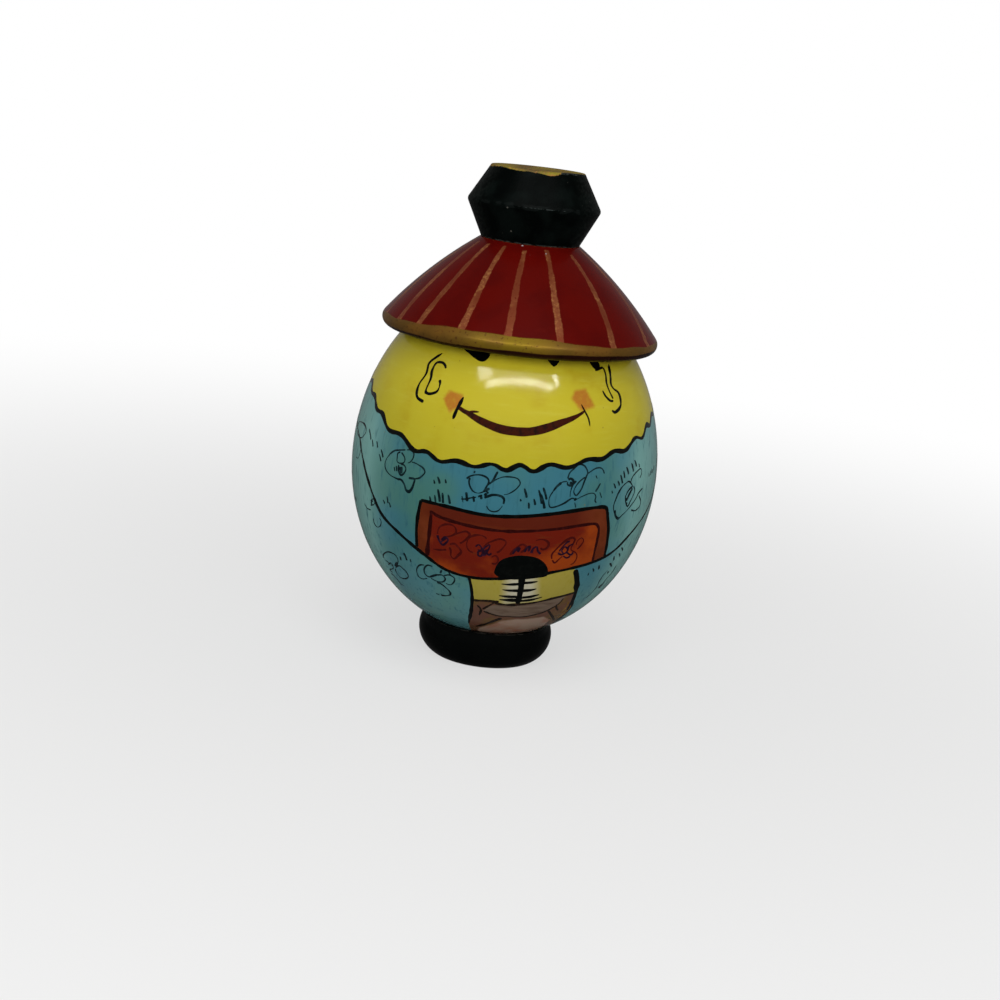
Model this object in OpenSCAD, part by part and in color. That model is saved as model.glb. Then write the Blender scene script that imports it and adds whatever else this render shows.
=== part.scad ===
// Painted wooden egg doll: an egg that stands in a black ring, wears a wide red
// hat with a black knob, and all of it turned from wood. The egg lifts out of the
// ring. The hat turns with a loose peg in the egg's crown, and lifts off that peg.
// Millimetres, +Z up, origin on the floor at the ring's centre, face towards -Y.

/* [Egg] */
// Greatest width of the egg
egg_d = 57; // [51:0.5:64]
// Height of the egg above its widest level
egg_upper_h = 35; // [32:0.5:38]
// Height of the egg below its widest level
egg_lower_h = 32.5; // [30:0.5:38]

/* [Ring stand] */
// Greatest width of the ring
ring_d = 25.4; // [24.8:0.2:29]
// Height of the ring's top land
ring_h = 7.3; // [6.8:0.1:8]
// Height at which the ring is widest
ring_wide_h = 4.6; // [4:0.1:5.2]
// Width of the hole through the ring
ring_bore_d = 16; // [12:0.5:18]
// Radius that the ring's outside is rounded to
ring_round_r = 5.3; // [4.9:0.1:6.5]
// Width of the egg where it meets the ring's top land
seat_d = 22.6; // [21.6:0.2:23.2]

/* [Hat] */
// Width across the brim
brim_d = 50.8; // [48:0.2:56]
// Thickness of the brim's rounded edge
brim_t = 3.1; // [2.4:0.1:4]
// Width of the egg at the level that the brim comes down to
mouth_d = 41.6; // [38:0.2:44]
// Height of the hat from the brim's underside to its flat crown
hat_h = 17.7; // [16.5:0.1:20]
// Width of the flat crown that the knob stands on
crown_d = 18.2; // [17:0.2:21]
// How far the hat's side swells outwards at its middle
hat_swell = 0.8; // [0.2:0.1:1.6]

/* [Knob] */
// Width of the knob at its ridge
knob_d = 24.2; // [21:0.2:28]
// Height of the knob
knob_h = 13; // [11:0.2:16]
// Width of the knob's lower end
knob_foot_d = 18; // [15:0.2:20]
// Width of the knob's upper end
knob_top_d = 17; // [14:0.2:20]
// Width of the spigot that is glued into the hat
spigot_d = 10; // [8.4:0.1:12]

/* [Peg] */
// Width of the peg
peg_d = 5; // [4:0.1:6]
// Length of the peg
peg_l = 26; // [23:0.5:28]
// Depth of the peg's socket in the egg
socket_depth = 14; // [12:0.5:18]

/* [Fits] */
// Gap all round between the egg and the ring or hat it sits in
seat_gap = 0.2; // [0.1:0.05:0.3]
// Radial clearance of the peg in the egg and in the knob
peg_gap = 0.08; // [0.04:0.01:0.1]
// Radial glue gap round the spigot
glue_gap = 0.05; // [0.02:0.01:0.1]
// Gap at the ends of the peg and of the spigot
end_gap = 0.2; // [0.1:0.05:0.3]

/* [Hidden] */
$fn = 96;
// Overrun of every cut past the face it opens
over = 1;
// Steps along the outlines of the egg, of the hat's side and of the brim's edge
egg_steps = 60;
side_steps = 20;
edge_steps = 12;
// Size of the bevel at the peg's two ends
peg_bevel = 0.6;
// Height of the narrow band left at the knob's ridge
ridge_band = 0.5;
// Angle on the brim's rounded edge at which the hat's side leaves it
side_angle = 38;
// Height of the knob's ridge as a share of the knob's height
ridge_share = 0.5;

// Levels, from the floor up
egg_mid_z = ring_h + egg_lower_h * sqrt(1 - pow(seat_d / egg_d, 2));
egg_top_z = egg_mid_z + egg_upper_h;
brim_z = egg_mid_z + egg_upper_h * sqrt(1 - pow(mouth_d / egg_d, 2));
crown_z = brim_z + hat_h;
knob_top_z = crown_z + knob_h;
socket_z = egg_top_z - socket_depth;
peg_z = socket_z + end_gap;
peg_top_z = peg_z + peg_l;
spigot_z = egg_top_z + seat_gap + end_gap;

// Half outline of the egg, two half ellipses from pole to pole, grown by g
function egg_half(g) = [
    for (i = [0 : egg_steps])
        let (a = 180 * i / egg_steps, h = a < 90 ? egg_upper_h : egg_lower_h)
            [(egg_d / 2 + g) * sin(a), egg_mid_z + (h + g) * cos(a)]
];

// Rounded edge of the brim, from its flat underside to where the hat's side leaves it
function brim_edge() = [
    for (i = [0 : edge_steps])
        let (a = -90 + (side_angle + 90) * i / edge_steps)
            [brim_d / 2 - brim_t / 2 + brim_t / 2 * cos(a), brim_z + brim_t / 2 + brim_t / 2 * sin(a)]
];

// Side of the hat from point p to point q, swollen outwards like a shallow parabola
function hat_side(p, q) = [
    for (i = [1 : side_steps])
        let (t = i / side_steps, run = q - p, out = [run[1], -run[0]] / norm(run))
            p + run * t + out * hat_swell * 4 * t * (1 - t)
];

module egg_solid(g) {
    rotate_extrude() polygon(egg_half(g));
}

module stand_ring() {
    color([0.03, 0.03, 0.03])
    difference() {
        rotate_extrude()
            intersection() {
                translate([ring_d / 2 - ring_round_r, ring_wide_h]) circle(ring_round_r);
                translate([ring_bore_d / 2, 0]) square([ring_d, ring_h]);
            }
        egg_solid(seat_gap);
    }
}

module egg() {
    color([0.33, 0.56, 0.6])
    difference() {
        egg_solid(0);
        translate([0, 0, socket_z]) cylinder(r = peg_d / 2 + peg_gap, h = socket_depth + over);
    }
}

module hat_peg() {
    color([0.8, 0.66, 0.44])
    rotate_extrude()
        polygon([
            [0, peg_z],
            [peg_d / 2 - peg_bevel, peg_z],
            [peg_d / 2, peg_z + peg_bevel],
            [peg_d / 2, peg_top_z - peg_bevel],
            [peg_d / 2 - peg_bevel, peg_top_z],
            [0, peg_top_z]
        ]);
}

module hat() {
    edge = brim_edge();
    side = hat_side(edge[edge_steps], [crown_d / 2, crown_z]);
    outline = concat([[0, brim_z]], edge, side, [[0, crown_z]]);
    color([0.42, 0.03, 0.05])
    difference() {
        rotate_extrude() polygon(outline);
        egg_solid(seat_gap);
        translate([0, 0, brim_z]) cylinder(r = spigot_d / 2 + glue_gap, h = hat_h + over);
    }
}

module knob() {
    ridge_z = crown_z + knob_h * ridge_share;
    color([0.02, 0.02, 0.02])
    difference() {
        rotate_extrude()
            polygon([
                [0, spigot_z],
                [spigot_d / 2, spigot_z],
                [spigot_d / 2, crown_z],
                [knob_foot_d / 2, crown_z],
                [knob_d / 2, ridge_z - ridge_band / 2],
                [knob_d / 2, ridge_z + ridge_band / 2],
                [knob_top_d / 2, knob_top_z],
                [0, knob_top_z]
            ]);
        translate([0, 0, spigot_z - over])
            cylinder(r = peg_d / 2 + peg_gap, h = peg_top_z + end_gap - spigot_z + over);
    }
}

stand_ring();
egg();
hat_peg();
hat();
knob();
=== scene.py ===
"""A painted wooden egg doll in a black ring stand, with a wide red hat and a black knob.

The file follows the doll as it is put together: ring, egg, the painting on the egg, peg, hat, knob.
Sizes are written in millimetres on the frame of the CAD model, and MM turns them into metres.
Turns are degrees round the axis from the middle of the face, and grow to the right (+X). Left and right
are as seen from in front of the face.
"""

import bpy
import numpy as np
from mathutils import Matrix, Vector


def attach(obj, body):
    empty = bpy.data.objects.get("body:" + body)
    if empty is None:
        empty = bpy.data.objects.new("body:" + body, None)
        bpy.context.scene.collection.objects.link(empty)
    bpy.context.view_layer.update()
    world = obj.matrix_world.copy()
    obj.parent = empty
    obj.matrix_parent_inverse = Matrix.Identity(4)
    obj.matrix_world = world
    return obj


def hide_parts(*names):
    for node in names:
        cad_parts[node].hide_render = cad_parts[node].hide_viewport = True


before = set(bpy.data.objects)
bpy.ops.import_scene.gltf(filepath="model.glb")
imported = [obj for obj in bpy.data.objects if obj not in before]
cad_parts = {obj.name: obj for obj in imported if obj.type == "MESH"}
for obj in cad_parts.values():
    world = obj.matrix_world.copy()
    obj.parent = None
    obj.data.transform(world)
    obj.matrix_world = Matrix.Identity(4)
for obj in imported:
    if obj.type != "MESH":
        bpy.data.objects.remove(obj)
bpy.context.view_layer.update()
MM = 0.001


# Ring stand
# A short ring turned from one piece of wood, bored through, with a narrow seat cut to the egg's own curve.
# It is dipped in black lacquer, which is rubbed thin along its edges. It stands loose under the egg.
RING_BORE_R = 8.0
RING_ROUND_R = 5.3
RING_ROUND_AT = (7.4, 4.6)
RING_ROUND_FROM = -60.2
RING_ROUND_TO = 30.6
RING_H = 7.3
RING_SEAT_R = 11.75
SEAT_GAP = 0.22
EGG_R = 28.5
EGG_WAIST = 37.136
EGG_UP = 35.0
EGG_DOWN = 32.5
LACQUER_SKIN = 0.01
BORE_COAT = 0.02
SHARP_BEND = 25
SHARP_EDGE = 0.8
FAR = 9.0
BLACK_LACQUER = (0.0012, 0.0015, 0.0014, 1)
BLACK_CLOUD = (0.00228, 0.00285, 0.00266, 1)
RUBBED_BLACK = (0.022, 0.021, 0.018, 1)
BLACK_DUST = (0.10, 0.095, 0.08, 1)


def eased(outline, cut, closed=False):
    """The outline with its sharp corners taken off. A corner that turns by SHARP_BEND degrees or more gives
    way to a parabola, (1-t)(1-t) P + 2t(1-t) corner + t t Q, where P and Q lie on its sides at the distance
    cut."""
    outline = np.asarray(outline, float)
    made = []
    for i, corner in enumerate(outline):
        at_end = i in (0, len(outline) - 1)
        before = corner - outline[i - 1]
        after = outline[(i + 1) % len(outline)] - corner
        lengths = np.linalg.norm(before), np.linalg.norm(after)
        bend = np.degrees(np.arccos(np.clip(before @ after / (lengths[0] * lengths[1]), -1, 1)))
        if bend < SHARP_BEND or (at_end and not closed):
            made.append(corner[None])
            continue
        start = corner - before / lengths[0] * min(cut, lengths[0] / 3)
        end = corner + after / lengths[1] * min(cut, lengths[1] / 3)
        t = np.linspace(0, 1, 7)[:, None]
        made.append((1 - t) ** 2 * start + 2 * t * (1 - t) * corner + t**2 * end)
    return np.vstack(made)


def spaced(outline, step, closed=False):
    """The outline with points added on its long sides, so that none lies further than step from the next."""
    ends = np.roll(outline, -1, axis=0) if closed else outline[1:]
    made = []
    for start, end in zip(outline, ends):
        parts = max(1, int(np.ceil(np.linalg.norm(end - start) / step)))
        made.append(start + (end - start) * (np.arange(parts) / parts)[:, None])
    return np.vstack(made if closed else made + [outline[-1:]])


def edge_distance(outline, closed=False):
    """Distance in mm along the outline from each point to the nearest outer edge, at most FAR. An outer edge
    is where the outline turns to the left by more than SHARP_EDGE radians for each mm of its length."""
    before = outline - np.roll(outline, 1, axis=0)
    after = np.roll(outline, -1, axis=0) - outline
    side = np.linalg.norm(before, axis=1), np.linalg.norm(after, axis=1)
    turn = np.arctan2(before[:, 0] * after[:, 1] - before[:, 1] * after[:, 0], (before * after).sum(1))
    sharp = turn / np.maximum((side[0] + side[1]) / 2, 1e-6) > SHARP_EDGE
    if not closed:
        sharp[[0, -1]] = False
    run = np.cumsum(side[0]) - side[0][0]
    if not sharp.any():
        return np.full(len(outline), FAR)
    return np.minimum(np.abs(run[:, None] - run[sharp][None]).min(1), FAR)


def ramp(value, start, end):
    """0 up to start, 1 from end on, and a straight rise between them."""
    return np.clip((value - start) / (end - start), 0, 1)


def wave(turn, beats, shift=0):
    """A sine with a number of beats in one round of the axis, shifted by some degrees."""
    return np.sin(np.radians(beats * turn + shift))


def keep(piece, name, values):
    """Writes one number at each point of the piece, for its material to read."""
    written = piece.data.attributes.new(name, "FLOAT", "POINT")
    written.data.foreach_set("value", np.asarray(values, np.float32).ravel())


def turned(name, outline, around, closed=False):
    """A piece turned on a lathe: each point (radius, height) of the outline is carried round the axis, to
    x = radius sin(turn), y = -radius cos(turn), z = height. A point on the axis stays one pole. The outline
    runs up the outside, so that faces point outwards. Returns the piece, and each point's turn, radius and
    height."""
    count = np.where(outline[:, 0] < 1e-6, 1, around)
    first = np.concatenate([[0], np.cumsum(count)])
    row = np.repeat(np.arange(len(outline)), count)
    turn = (np.arange(first[-1]) - first[row]) * 2 * np.pi / around - np.pi
    radius = outline[row, 0]
    height = outline[row, 1]
    points = np.column_stack([radius * np.sin(turn), -radius * np.cos(turn), height]) * MM
    j = np.arange(around)
    faces = []
    for k in range(len(outline) if closed else len(outline) - 1):
        n = (k + 1) % len(outline)
        low = np.column_stack([first[k] + j, first[k] + (j + 1) % around])
        high = np.column_stack([first[n] + (j + 1) % around, first[n] + j])
        if count[k] == 1:
            faces += np.column_stack([np.full(around, first[k]), high]).tolist()
        elif count[n] == 1:
            faces += np.column_stack([low, np.full(around, first[n])]).tolist()
        else:
            faces += np.column_stack([low, high]).tolist()
    mesh = bpy.data.meshes.new(name)
    mesh.from_pydata(points, [], faces)
    mesh.shade_smooth()
    piece = bpy.data.objects.new(name, mesh)
    bpy.context.scene.collection.objects.link(piece)
    keep(piece, "edge_mm", edge_distance(outline, closed)[row])
    return piece, np.degrees(turn), radius, height


def put(tree, kind, sockets=(), **settings):
    """Adds a node to a material or group, and writes or links each of its sockets that is given."""
    made = tree.nodes.new("ShaderNode" + kind)
    for name, value in settings.items():
        setattr(made, name, value)
    for name, value in dict(sockets).items():
        if isinstance(value, bpy.types.NodeSocket):
            tree.links.new(value, made.inputs[name])
        else:
            made.inputs[name].default_value = value
    return made


def sum_of(tree, operation, a, b):
    """One step of arithmetic on two numbers or sockets."""
    return put(tree, "Math", {0: a, 1: b}, operation=operation).outputs[0]


def times(tree, a, b):
    """a times b."""
    return sum_of(tree, "MULTIPLY", a, b)


def plus(tree, a, b):
    """a plus b."""
    return sum_of(tree, "ADD", a, b)


def ease_between(tree, value, low, high):
    """0 below low, 1 above high, and a smooth step between them."""
    bounds = {"Value": value, "From Min": low, "From Max": high}
    return put(tree, "MapRange", bounds, interpolation_type="SMOOTHSTEP").outputs[0]


def over(tree, cover, under, top):
    """The colour under, with the colour top painted over it where cover is 1."""
    return put(tree, "Mix", {0: cover, 6: under, 7: top}, data_type="RGBA").outputs[2]


def clouded(tree, value, low, high, tone, other):
    """Two tones of one paint: the first where the value is below low, the second where it is above high."""
    return over(tree, ease_between(tree, value, low, high), tone, other)


def number_at(tree, name):
    """The number that keep() wrote at the points of the piece."""
    return put(tree, "Attribute", attribute_name=name).outputs["Fac"]


def place_of(tree):
    """Where a point is on the piece, in metres."""
    return put(tree, "TexCoord").outputs["Object"]


def noise_at(tree, place, size, detail=2.0, roughness=0.5):
    """Cloudy values round 0.5, with clouds about size mm across."""
    sockets = {"Vector": place, "Scale": 1 / (size * MM), "Detail": detail, "Roughness": roughness}
    return put(tree, "TexNoise", sockets).outputs["Fac"]


def effect(name, takes, gives):
    """An empty node group for an effect that several finishes share: its tree, inputs and outputs."""
    tree = bpy.data.node_groups.new(name, "ShaderNodeTree")
    for socket, value in takes.items():
        kind = "NodeSocketVector" if value is None else "NodeSocketFloat"
        made = tree.interface.new_socket(name=socket, in_out="INPUT", socket_type=kind)
        if value is not None:
            made.default_value = value
    for socket in gives:
        tree.interface.new_socket(name=socket, in_out="OUTPUT", socket_type="NodeSocketFloat")
    return tree, tree.nodes.new("NodeGroupInput").outputs, tree.nodes.new("NodeGroupOutput").inputs


def use(tree, group, **inputs):
    """Places a shared effect in a material with its own values, and returns its first output."""
    made = put(tree, "Group", node_tree=group)
    for name, value in inputs.items():
        socket = made.inputs[name.replace("_", " ").capitalize()]
        if isinstance(value, bpy.types.NodeSocket):
            tree.links.new(value, socket)
        else:
            socket.default_value = value
    return made.outputs[0]


def scaled(tree, place, size):
    """The place divided by a size in mm, for noise of scale 1."""
    factor = sum_of(tree, "DIVIDE", 1000.0, size)
    return put(tree, "VectorMath", {0: place, "Scale": factor}, operation="SCALE").outputs["Vector"]


# Lacquer that has flowed and dried: long low waves with a fine pinch on them.
lacquer_flow, given, result = effect("lacquer_flow", {"Place": None, "Wave size": 3.0, "Fine": 0.25},
                                     ["Height"])
flowing = scaled(lacquer_flow, given["Place"], given["Wave size"])
waves = put(lacquer_flow, "TexNoise", {"Vector": flowing, "Scale": 1.0, "Detail": 1.0}).outputs["Fac"]
pinch = put(lacquer_flow, "TexNoise", {"Vector": flowing, "Scale": 7.0, "Detail": 2.0}).outputs["Fac"]
flowed = plus(lacquer_flow, waves, times(lacquer_flow, pinch, given["Fine"]))
lacquer_flow.links.new(flowed, result["Height"])

# Specks of dust and of dry pigment: one in each cell, of its own size, in a share of the cells.
specks, given, result = effect("specks", {"Place": None, "Spacing": 2.0, "Share": 0.4, "Size": 0.12},
                               ["Mask"])
spread = scaled(specks, given["Place"], given["Spacing"])
cells = put(specks, "TexVoronoi", {"Vector": spread, "Scale": 1.0})
chance = put(specks, "SeparateColor", {"Color": cells.outputs["Color"]})
reach = times(specks, chance.outputs["Green"], given["Size"])
dot = ease_between(specks, sum_of(specks, "SUBTRACT", reach, cells.outputs["Distance"]), 0.0, 0.02)
chosen = sum_of(specks, "LESS_THAN", chance.outputs["Red"], given["Share"])
specks.links.new(times(specks, dot, chosen), result["Mask"])

# Paint rubbed off an outer edge: a band along the edge, broken up by the grain of the rubbing.
rubbed_edge, given, result = effect("rubbed_edge", {"Place": None, "Edge": FAR, "Width": 0.3, "Grain": 0.8},
                                    ["Mask"])
broken = put(rubbed_edge, "TexNoise", {"Vector": scaled(rubbed_edge, given["Place"], given["Grain"]),
                                       "Scale": 1.0, "Detail": 3.0}).outputs["Fac"]
reach = times(rubbed_edge, times(rubbed_edge, broken, 2.0), given["Width"])
left = sum_of(rubbed_edge, "SUBTRACT", reach, given["Edge"])
rubbed = ease_between(rubbed_edge, left, 0.0, 0.12)
patchy = ease_between(rubbed_edge, broken, 0.44, 0.56)
rubbed_edge.links.new(times(rubbed_edge, rubbed, patchy), result["Mask"])

# Marks of the brush: streaks drawn out by stretching the place along the way that the brush went.
brush_marks, given, result = effect("brush_marks", {"Place": None, "Stretch": None, "Size": 1.0}, ["Value"])
drawn = put(brush_marks, "VectorMath", {0: scaled(brush_marks, given["Place"], given["Size"]),
                                        1: given["Stretch"]}, operation="MULTIPLY").outputs["Vector"]
streaks = put(brush_marks, "TexNoise", {"Vector": drawn, "Scale": 1.0, "Detail": 3.0, "Roughness": 0.6})
brush_marks.links.new(streaks.outputs["Fac"], result["Value"])


def finish_of(name):
    """A new material for a finish: the material, its tree and its shader."""
    made = bpy.data.materials.new(name)
    made.use_nodes = True
    return made, made.node_tree, made.node_tree.nodes["Principled BSDF"]


def feed(tree, shader, **sockets):
    """Links the finish's colours and values to the shader."""
    for name, value in sockets.items():
        tree.links.new(value, shader.inputs[name.replace("_", " ")])


def relief(tree, height, depth):
    """The normal of a surface whose height, from 0 to 1, stands depth mm proud."""
    return put(tree, "Bump", {"Height": height, "Distance": depth * MM, "Strength": 1.0}).outputs["Normal"]


def black_lacquer(name, rubbing, dust, gloss):
    """Black lacquer on turned wood, rubbed thin at its edges, with dust caught in it."""
    made, tree, shader = finish_of(name)
    place = place_of(tree)
    cloud = noise_at(tree, place, 6.0, 3.0)
    body = over(tree, cloud, BLACK_LACQUER, BLACK_CLOUD)
    worn = use(tree, rubbed_edge, place=place, edge=number_at(tree, "edge_mm"), width=rubbing, grain=0.9)
    dusty = use(tree, specks, place=place, spacing=1.7, share=dust, size=0.16)
    colour = over(tree, worn, body, RUBBED_BLACK)
    colour = over(tree, dusty, colour, BLACK_DUST)
    dull = times(tree, cloud, 0.16)
    rough = plus(tree, plus(tree, dull, gloss), times(tree, worn, 0.3))
    flow = use(tree, lacquer_flow, place=place, wave_size=2.6, fine=0.2)
    height = sum_of(tree, "SUBTRACT", flow, times(tree, worn, 0.5))
    feed(tree, shader, Base_Color=colour, Roughness=rough, Normal=relief(tree, height, 0.025))
    shader.inputs["Specular IOR Level"].default_value = 0.03
    return made


turn = np.radians(np.linspace(RING_ROUND_FROM, RING_ROUND_TO, 40))
round_side = np.column_stack([RING_ROUND_AT[0] + (RING_ROUND_R - LACQUER_SKIN) * np.cos(turn),
                              RING_ROUND_AT[1] + RING_ROUND_R * np.sin(turn)])
round_side[:, 1] = np.clip(round_side[:, 1], 0, RING_H - LACQUER_SKIN)
seat_r = np.linspace(RING_SEAT_R, RING_BORE_R + BORE_COAT, 14)
seat_level = EGG_WAIST - (EGG_DOWN + SEAT_GAP) * np.sqrt(1 - (seat_r / (EGG_R + SEAT_GAP)) ** 2)
seat = np.column_stack([seat_r, np.minimum(seat_level, RING_H - LACQUER_SKIN)])
ring_outline = np.vstack([[[RING_BORE_R + BORE_COAT, 0]], round_side, seat])
ring_outline = spaced(eased(ring_outline, cut=0.12, closed=True), step=0.35, closed=True)
stand_ring, *_ = turned("black_ring_stand", ring_outline, around=320, closed=True)
stand_ring.data.materials.append(black_lacquer("black_ring_lacquer", rubbing=0.09, dust=0.10, gloss=0.10))
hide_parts("stand_ring")
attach(stand_ring, "stand")


# Egg
# One solid egg turned from pale wood, bored at the crown for the hat's peg. Face, robe and chest panel are
# flat coats of paint under clear lacquer, and the socket and the small spot under the foot are left bare.
PAINT_SKIN = 0.05
SOCKET_R = 2.58
SOCKET_LEAN = 5.5
SOCKET_FLOOR = 58.136
BARE_FOOT_R = 5.5
SEEN_FROM = -5.5
FACE_YELLOW = (0.455, 0.384, 0.020, 1)
FACE_GOLD = (0.405, 0.312, 0.011, 1)
FACE_PALE = (0.475, 0.415, 0.034, 1)
FACE_PAINTED_SHADE = (0.335, 0.288, 0.010, 1)
ROBE_BLUE = (0.034, 0.140, 0.182, 1)
ROBE_GREEN = (0.048, 0.150, 0.130, 1)
ROBE_PAINTED_SHEEN = (0.172, 0.362, 0.335, 1)
ROBE_DEEP = (0.026, 0.102, 0.132, 1)
PANEL_BORDER = (0.108, 0.019, 0.004, 1)
PANEL_BORDER_WARM = (0.138, 0.026, 0.007, 1)
PANEL_BORDER_RED = (0.080, 0.0090, 0.0032, 1)
PANEL_RED = (0.120, 0.0085, 0.0025, 1)
PANEL_ORANGE = (0.250, 0.038, 0.003, 1)
LINING_YELLOW = (0.315, 0.262, 0.044, 1)
LINING_GOLD = (0.285, 0.235, 0.028, 1)
LINING_WHITE = (0.46, 0.435, 0.33, 1)
SHOE_BROWN = (0.115, 0.050, 0.032, 1)
SHOE_OLIVE = (0.120, 0.064, 0.022, 1)
SHOE_UPPER = (0.150, 0.105, 0.076, 1)
SHOE_SHADE = (0.095, 0.060, 0.040, 1)
SHOE_MAUVE = (0.300, 0.205, 0.150, 1)
SHOE_ROSE = (0.280, 0.130, 0.085, 1)
CHEEK_ORANGE = (0.375, 0.130, 0.015, 1)
BARE_WOOD = (0.56, 0.38, 0.19, 1)
BARE_GRAIN = (0.40, 0.24, 0.10, 1)
PIGMENT_SPECK = (0.16, 0.12, 0.02, 1)

COLLAR = [(-180, 51.5), (-110, 51.5), (-89, 50.9), (-75, 49.3), (-68, 47.9), (-59, 46.1), (-48, 44.1),
          (-36, 42.7), (-29, 42.1), (-10, 42.4), (10, 43.1), (30, 44.8), (45, 46.4), (60, 48.5),
          (72, 50.3), (90, 51.3), (110, 51.5), (180, 51.5)]
HEM = [(-180, 45), (-130, 44.4), (-95, 43.2), (-76, 41), (-69, 37.9), (-61, 33.3), (-54, 29.3), (-44, 26.7),
       (-33, 24), (-24, 22), (-11.5, 21.4), (5, 22.4), (21.5, 24), (37.5, 25.5), (46.5, 27), (54.5, 29.7),
       (67, 33.5), (76, 37), (95, 41), (130, 44), (180, 45)]
PANEL_LEFT = [(-36.4, 25.2), (-36, 29), (-35, 32.4), (-34.2, 34.4)]
PANEL_TOP = [(-34.2, 34.4), (-24, 34.2), (-11, 33.8), (0, 34.1), (11.7, 34.9), (25.5, 35.9), (35.4, 36)]
PANEL_RIGHT = [(35.4, 36), (37.2, 34.1), (38.7, 32.2), (39.8, 30.2), (41.9, 26.1)]
FRAME_LEFT = [(-32, 24), (-30.6, 28.3), (-30.1, 30.6), (-29.8, 33)]
FRAME_TOP = [(-30, 32.7), (-26, 32), (-15, 31.4), (-2, 31.3), (15, 32.2), (25, 32.9), (32, 32.9)]
FRAME_RIGHT = [(32, 32.9), (34.2, 31.6), (35, 28), (36, 25.4)]
LINING_LEFT = [(-14.6, 21.7), (-13.3, 18.9), (-13.1, 16.1), (-14.2, 13), (-17, 9.8), (-20, 6.6)]
LINING_RIGHT = [(28.6, 24.2), (31.5, 22.2), (34.6, 19.7), (38, 16.6), (42.1, 13.6), (46, 10), (50, 6.6)]
LINING_LOW = [(-12.6, 16.4), (-3.7, 16.7), (0, 16.2), (7, 16.3), (16.5, 17), (24.6, 17.9), (35.5, 18.9)]
UPPER_SHOE = [(-7.6, 14.1), (-0.6, 13.3), (6.6, 13.2), (14.8, 13.3), (22.3, 14.1), (26.5, 15), (29.9, 16.4),
              (31, 18.4), (24.7, 17.8), (18, 17), (10, 16.3), (0, 16.2), (-4.9, 15.4)]
LOWER_SHOE = [(-10, 9), (-2, 10.5), (3.7, 11.9), (10, 12.5), (18.6, 12.7), (27.2, 13.1), (34.8, 11.9),
              (40, 9), (42, 6), (-18, 6)]
COMB = [(0.8, 22.4), (12, 23), (16, 17.9), (2, 16.3)]
LEFT_CHEEK = [(-32.7, 52.2), (-31.3, 53.7), (-24.8, 53.4), (-25, 51.6), (-28.7, 50.1)]
RIGHT_CHEEK = [(19.1, 54.7), (21, 56), (26.4, 56.3), (29.8, 53.4), (23, 52.7)]


def on_egg(turn, height):
    """Point in mm and outward normal of the painted egg at a turn and a height. With c the height above the
    waist over the half height H, and s = sqrt(1 - c c), the radius is R s, and the normal leans as
    (s/R, c/H)."""
    turn = np.radians(turn)
    half = np.where(np.asarray(height) > EGG_WAIST, EGG_UP, EGG_DOWN) - PAINT_SKIN
    wide = EGG_R - PAINT_SKIN
    c = np.clip((height - EGG_WAIST) / half, -1, 1)
    s = np.sqrt(1 - c * c)
    ways = np.sin(turn), -np.cos(turn)
    point = np.stack([wide * s * ways[0], wide * s * ways[1], height + 0 * turn], -1)
    normal = np.stack([s / wide * ways[0], s / wide * ways[1], c / half + 0 * turn], -1)
    return point, normal / np.linalg.norm(normal, axis=-1, keepdims=True)


def curve_through(knots, parts=8):
    """A smooth line through its knots: a Catmull-Rom curve, whose slope at a knot is half the way from the
    knot before it to the knot after it."""
    k = np.asarray(knots, float)
    k = np.vstack([2 * k[0] - k[1], k, 2 * k[-1] - k[-2]])
    u = np.linspace(0, len(k) - 3, parts * (len(k) - 3) + 1)
    i = np.minimum(u.astype(int), len(k) - 4)
    t = (u - i)[:, None]
    a, b, c, d = k[i], k[i + 1], k[i + 2], k[i + 3]
    return 0.5 * (2 * b + (c - a) * t + (2 * a - 5 * b + 4 * c - d) * t**2 + (3 * b - a - 3 * c + d) * t**3)


def level_at(turn, line):
    """Height of a line that runs round the egg, at each turn."""
    smooth = curve_through(line)
    return np.interp(turn, smooth[:, 0], smooth[:, 1])


def collar_level(turn):
    """Height of the scalloped edge of the face: the collar line, lower by size at the foot of each of 30
    scallops round the egg. The size wanders round 0.42 mm, and the scallops come a little early or late."""
    late = 1.4 * wave(turn, 5, 40) + 0.8 * wave(turn, 11)
    size = 0.42 + 0.14 * wave(turn, 7, 60)
    return level_at(turn, COLLAR) - size * np.cos(np.radians(30 * (turn + 29 + late)))


def inside(turn, height, corners):
    """How far each point lies inside a closed outline on the egg, in mm, and below zero outside it. It is
    the distance to the nearest side, with its sign from how often a level line crosses the outline."""
    corners = np.asarray(corners, float)
    x = np.radians(turn) * np.linalg.norm(on_egg(turn, height)[0][:, :2], axis=1)
    cx = np.radians(corners[:, 0]) * np.linalg.norm(on_egg(corners[:, 0], corners[:, 1])[0][:, :2], axis=1)
    cy = corners[:, 1]
    near = np.full(len(x), 1e9)
    within = np.zeros(len(x), bool)
    for i in range(len(cx)):
        dx, dy = cx[i] - cx[i - 1], cy[i] - cy[i - 1]
        run = (x - cx[i - 1]) * dx + (height - cy[i - 1]) * dy
        share = np.clip(run / max(dx * dx + dy * dy, 1e-9), 0, 1)
        near = np.minimum(near, np.hypot(x - cx[i - 1] - share * dx, height - cy[i - 1] - share * dy))
        crossing = (cy[i] > height) != (cy[i - 1] > height)
        where = cx[i - 1] + (height - cy[i - 1]) * dx / (dy if abs(dy) > 1e-9 else 1e-9)
        within ^= crossing & (x < where)
    return np.where(within, near, -near)


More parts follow.
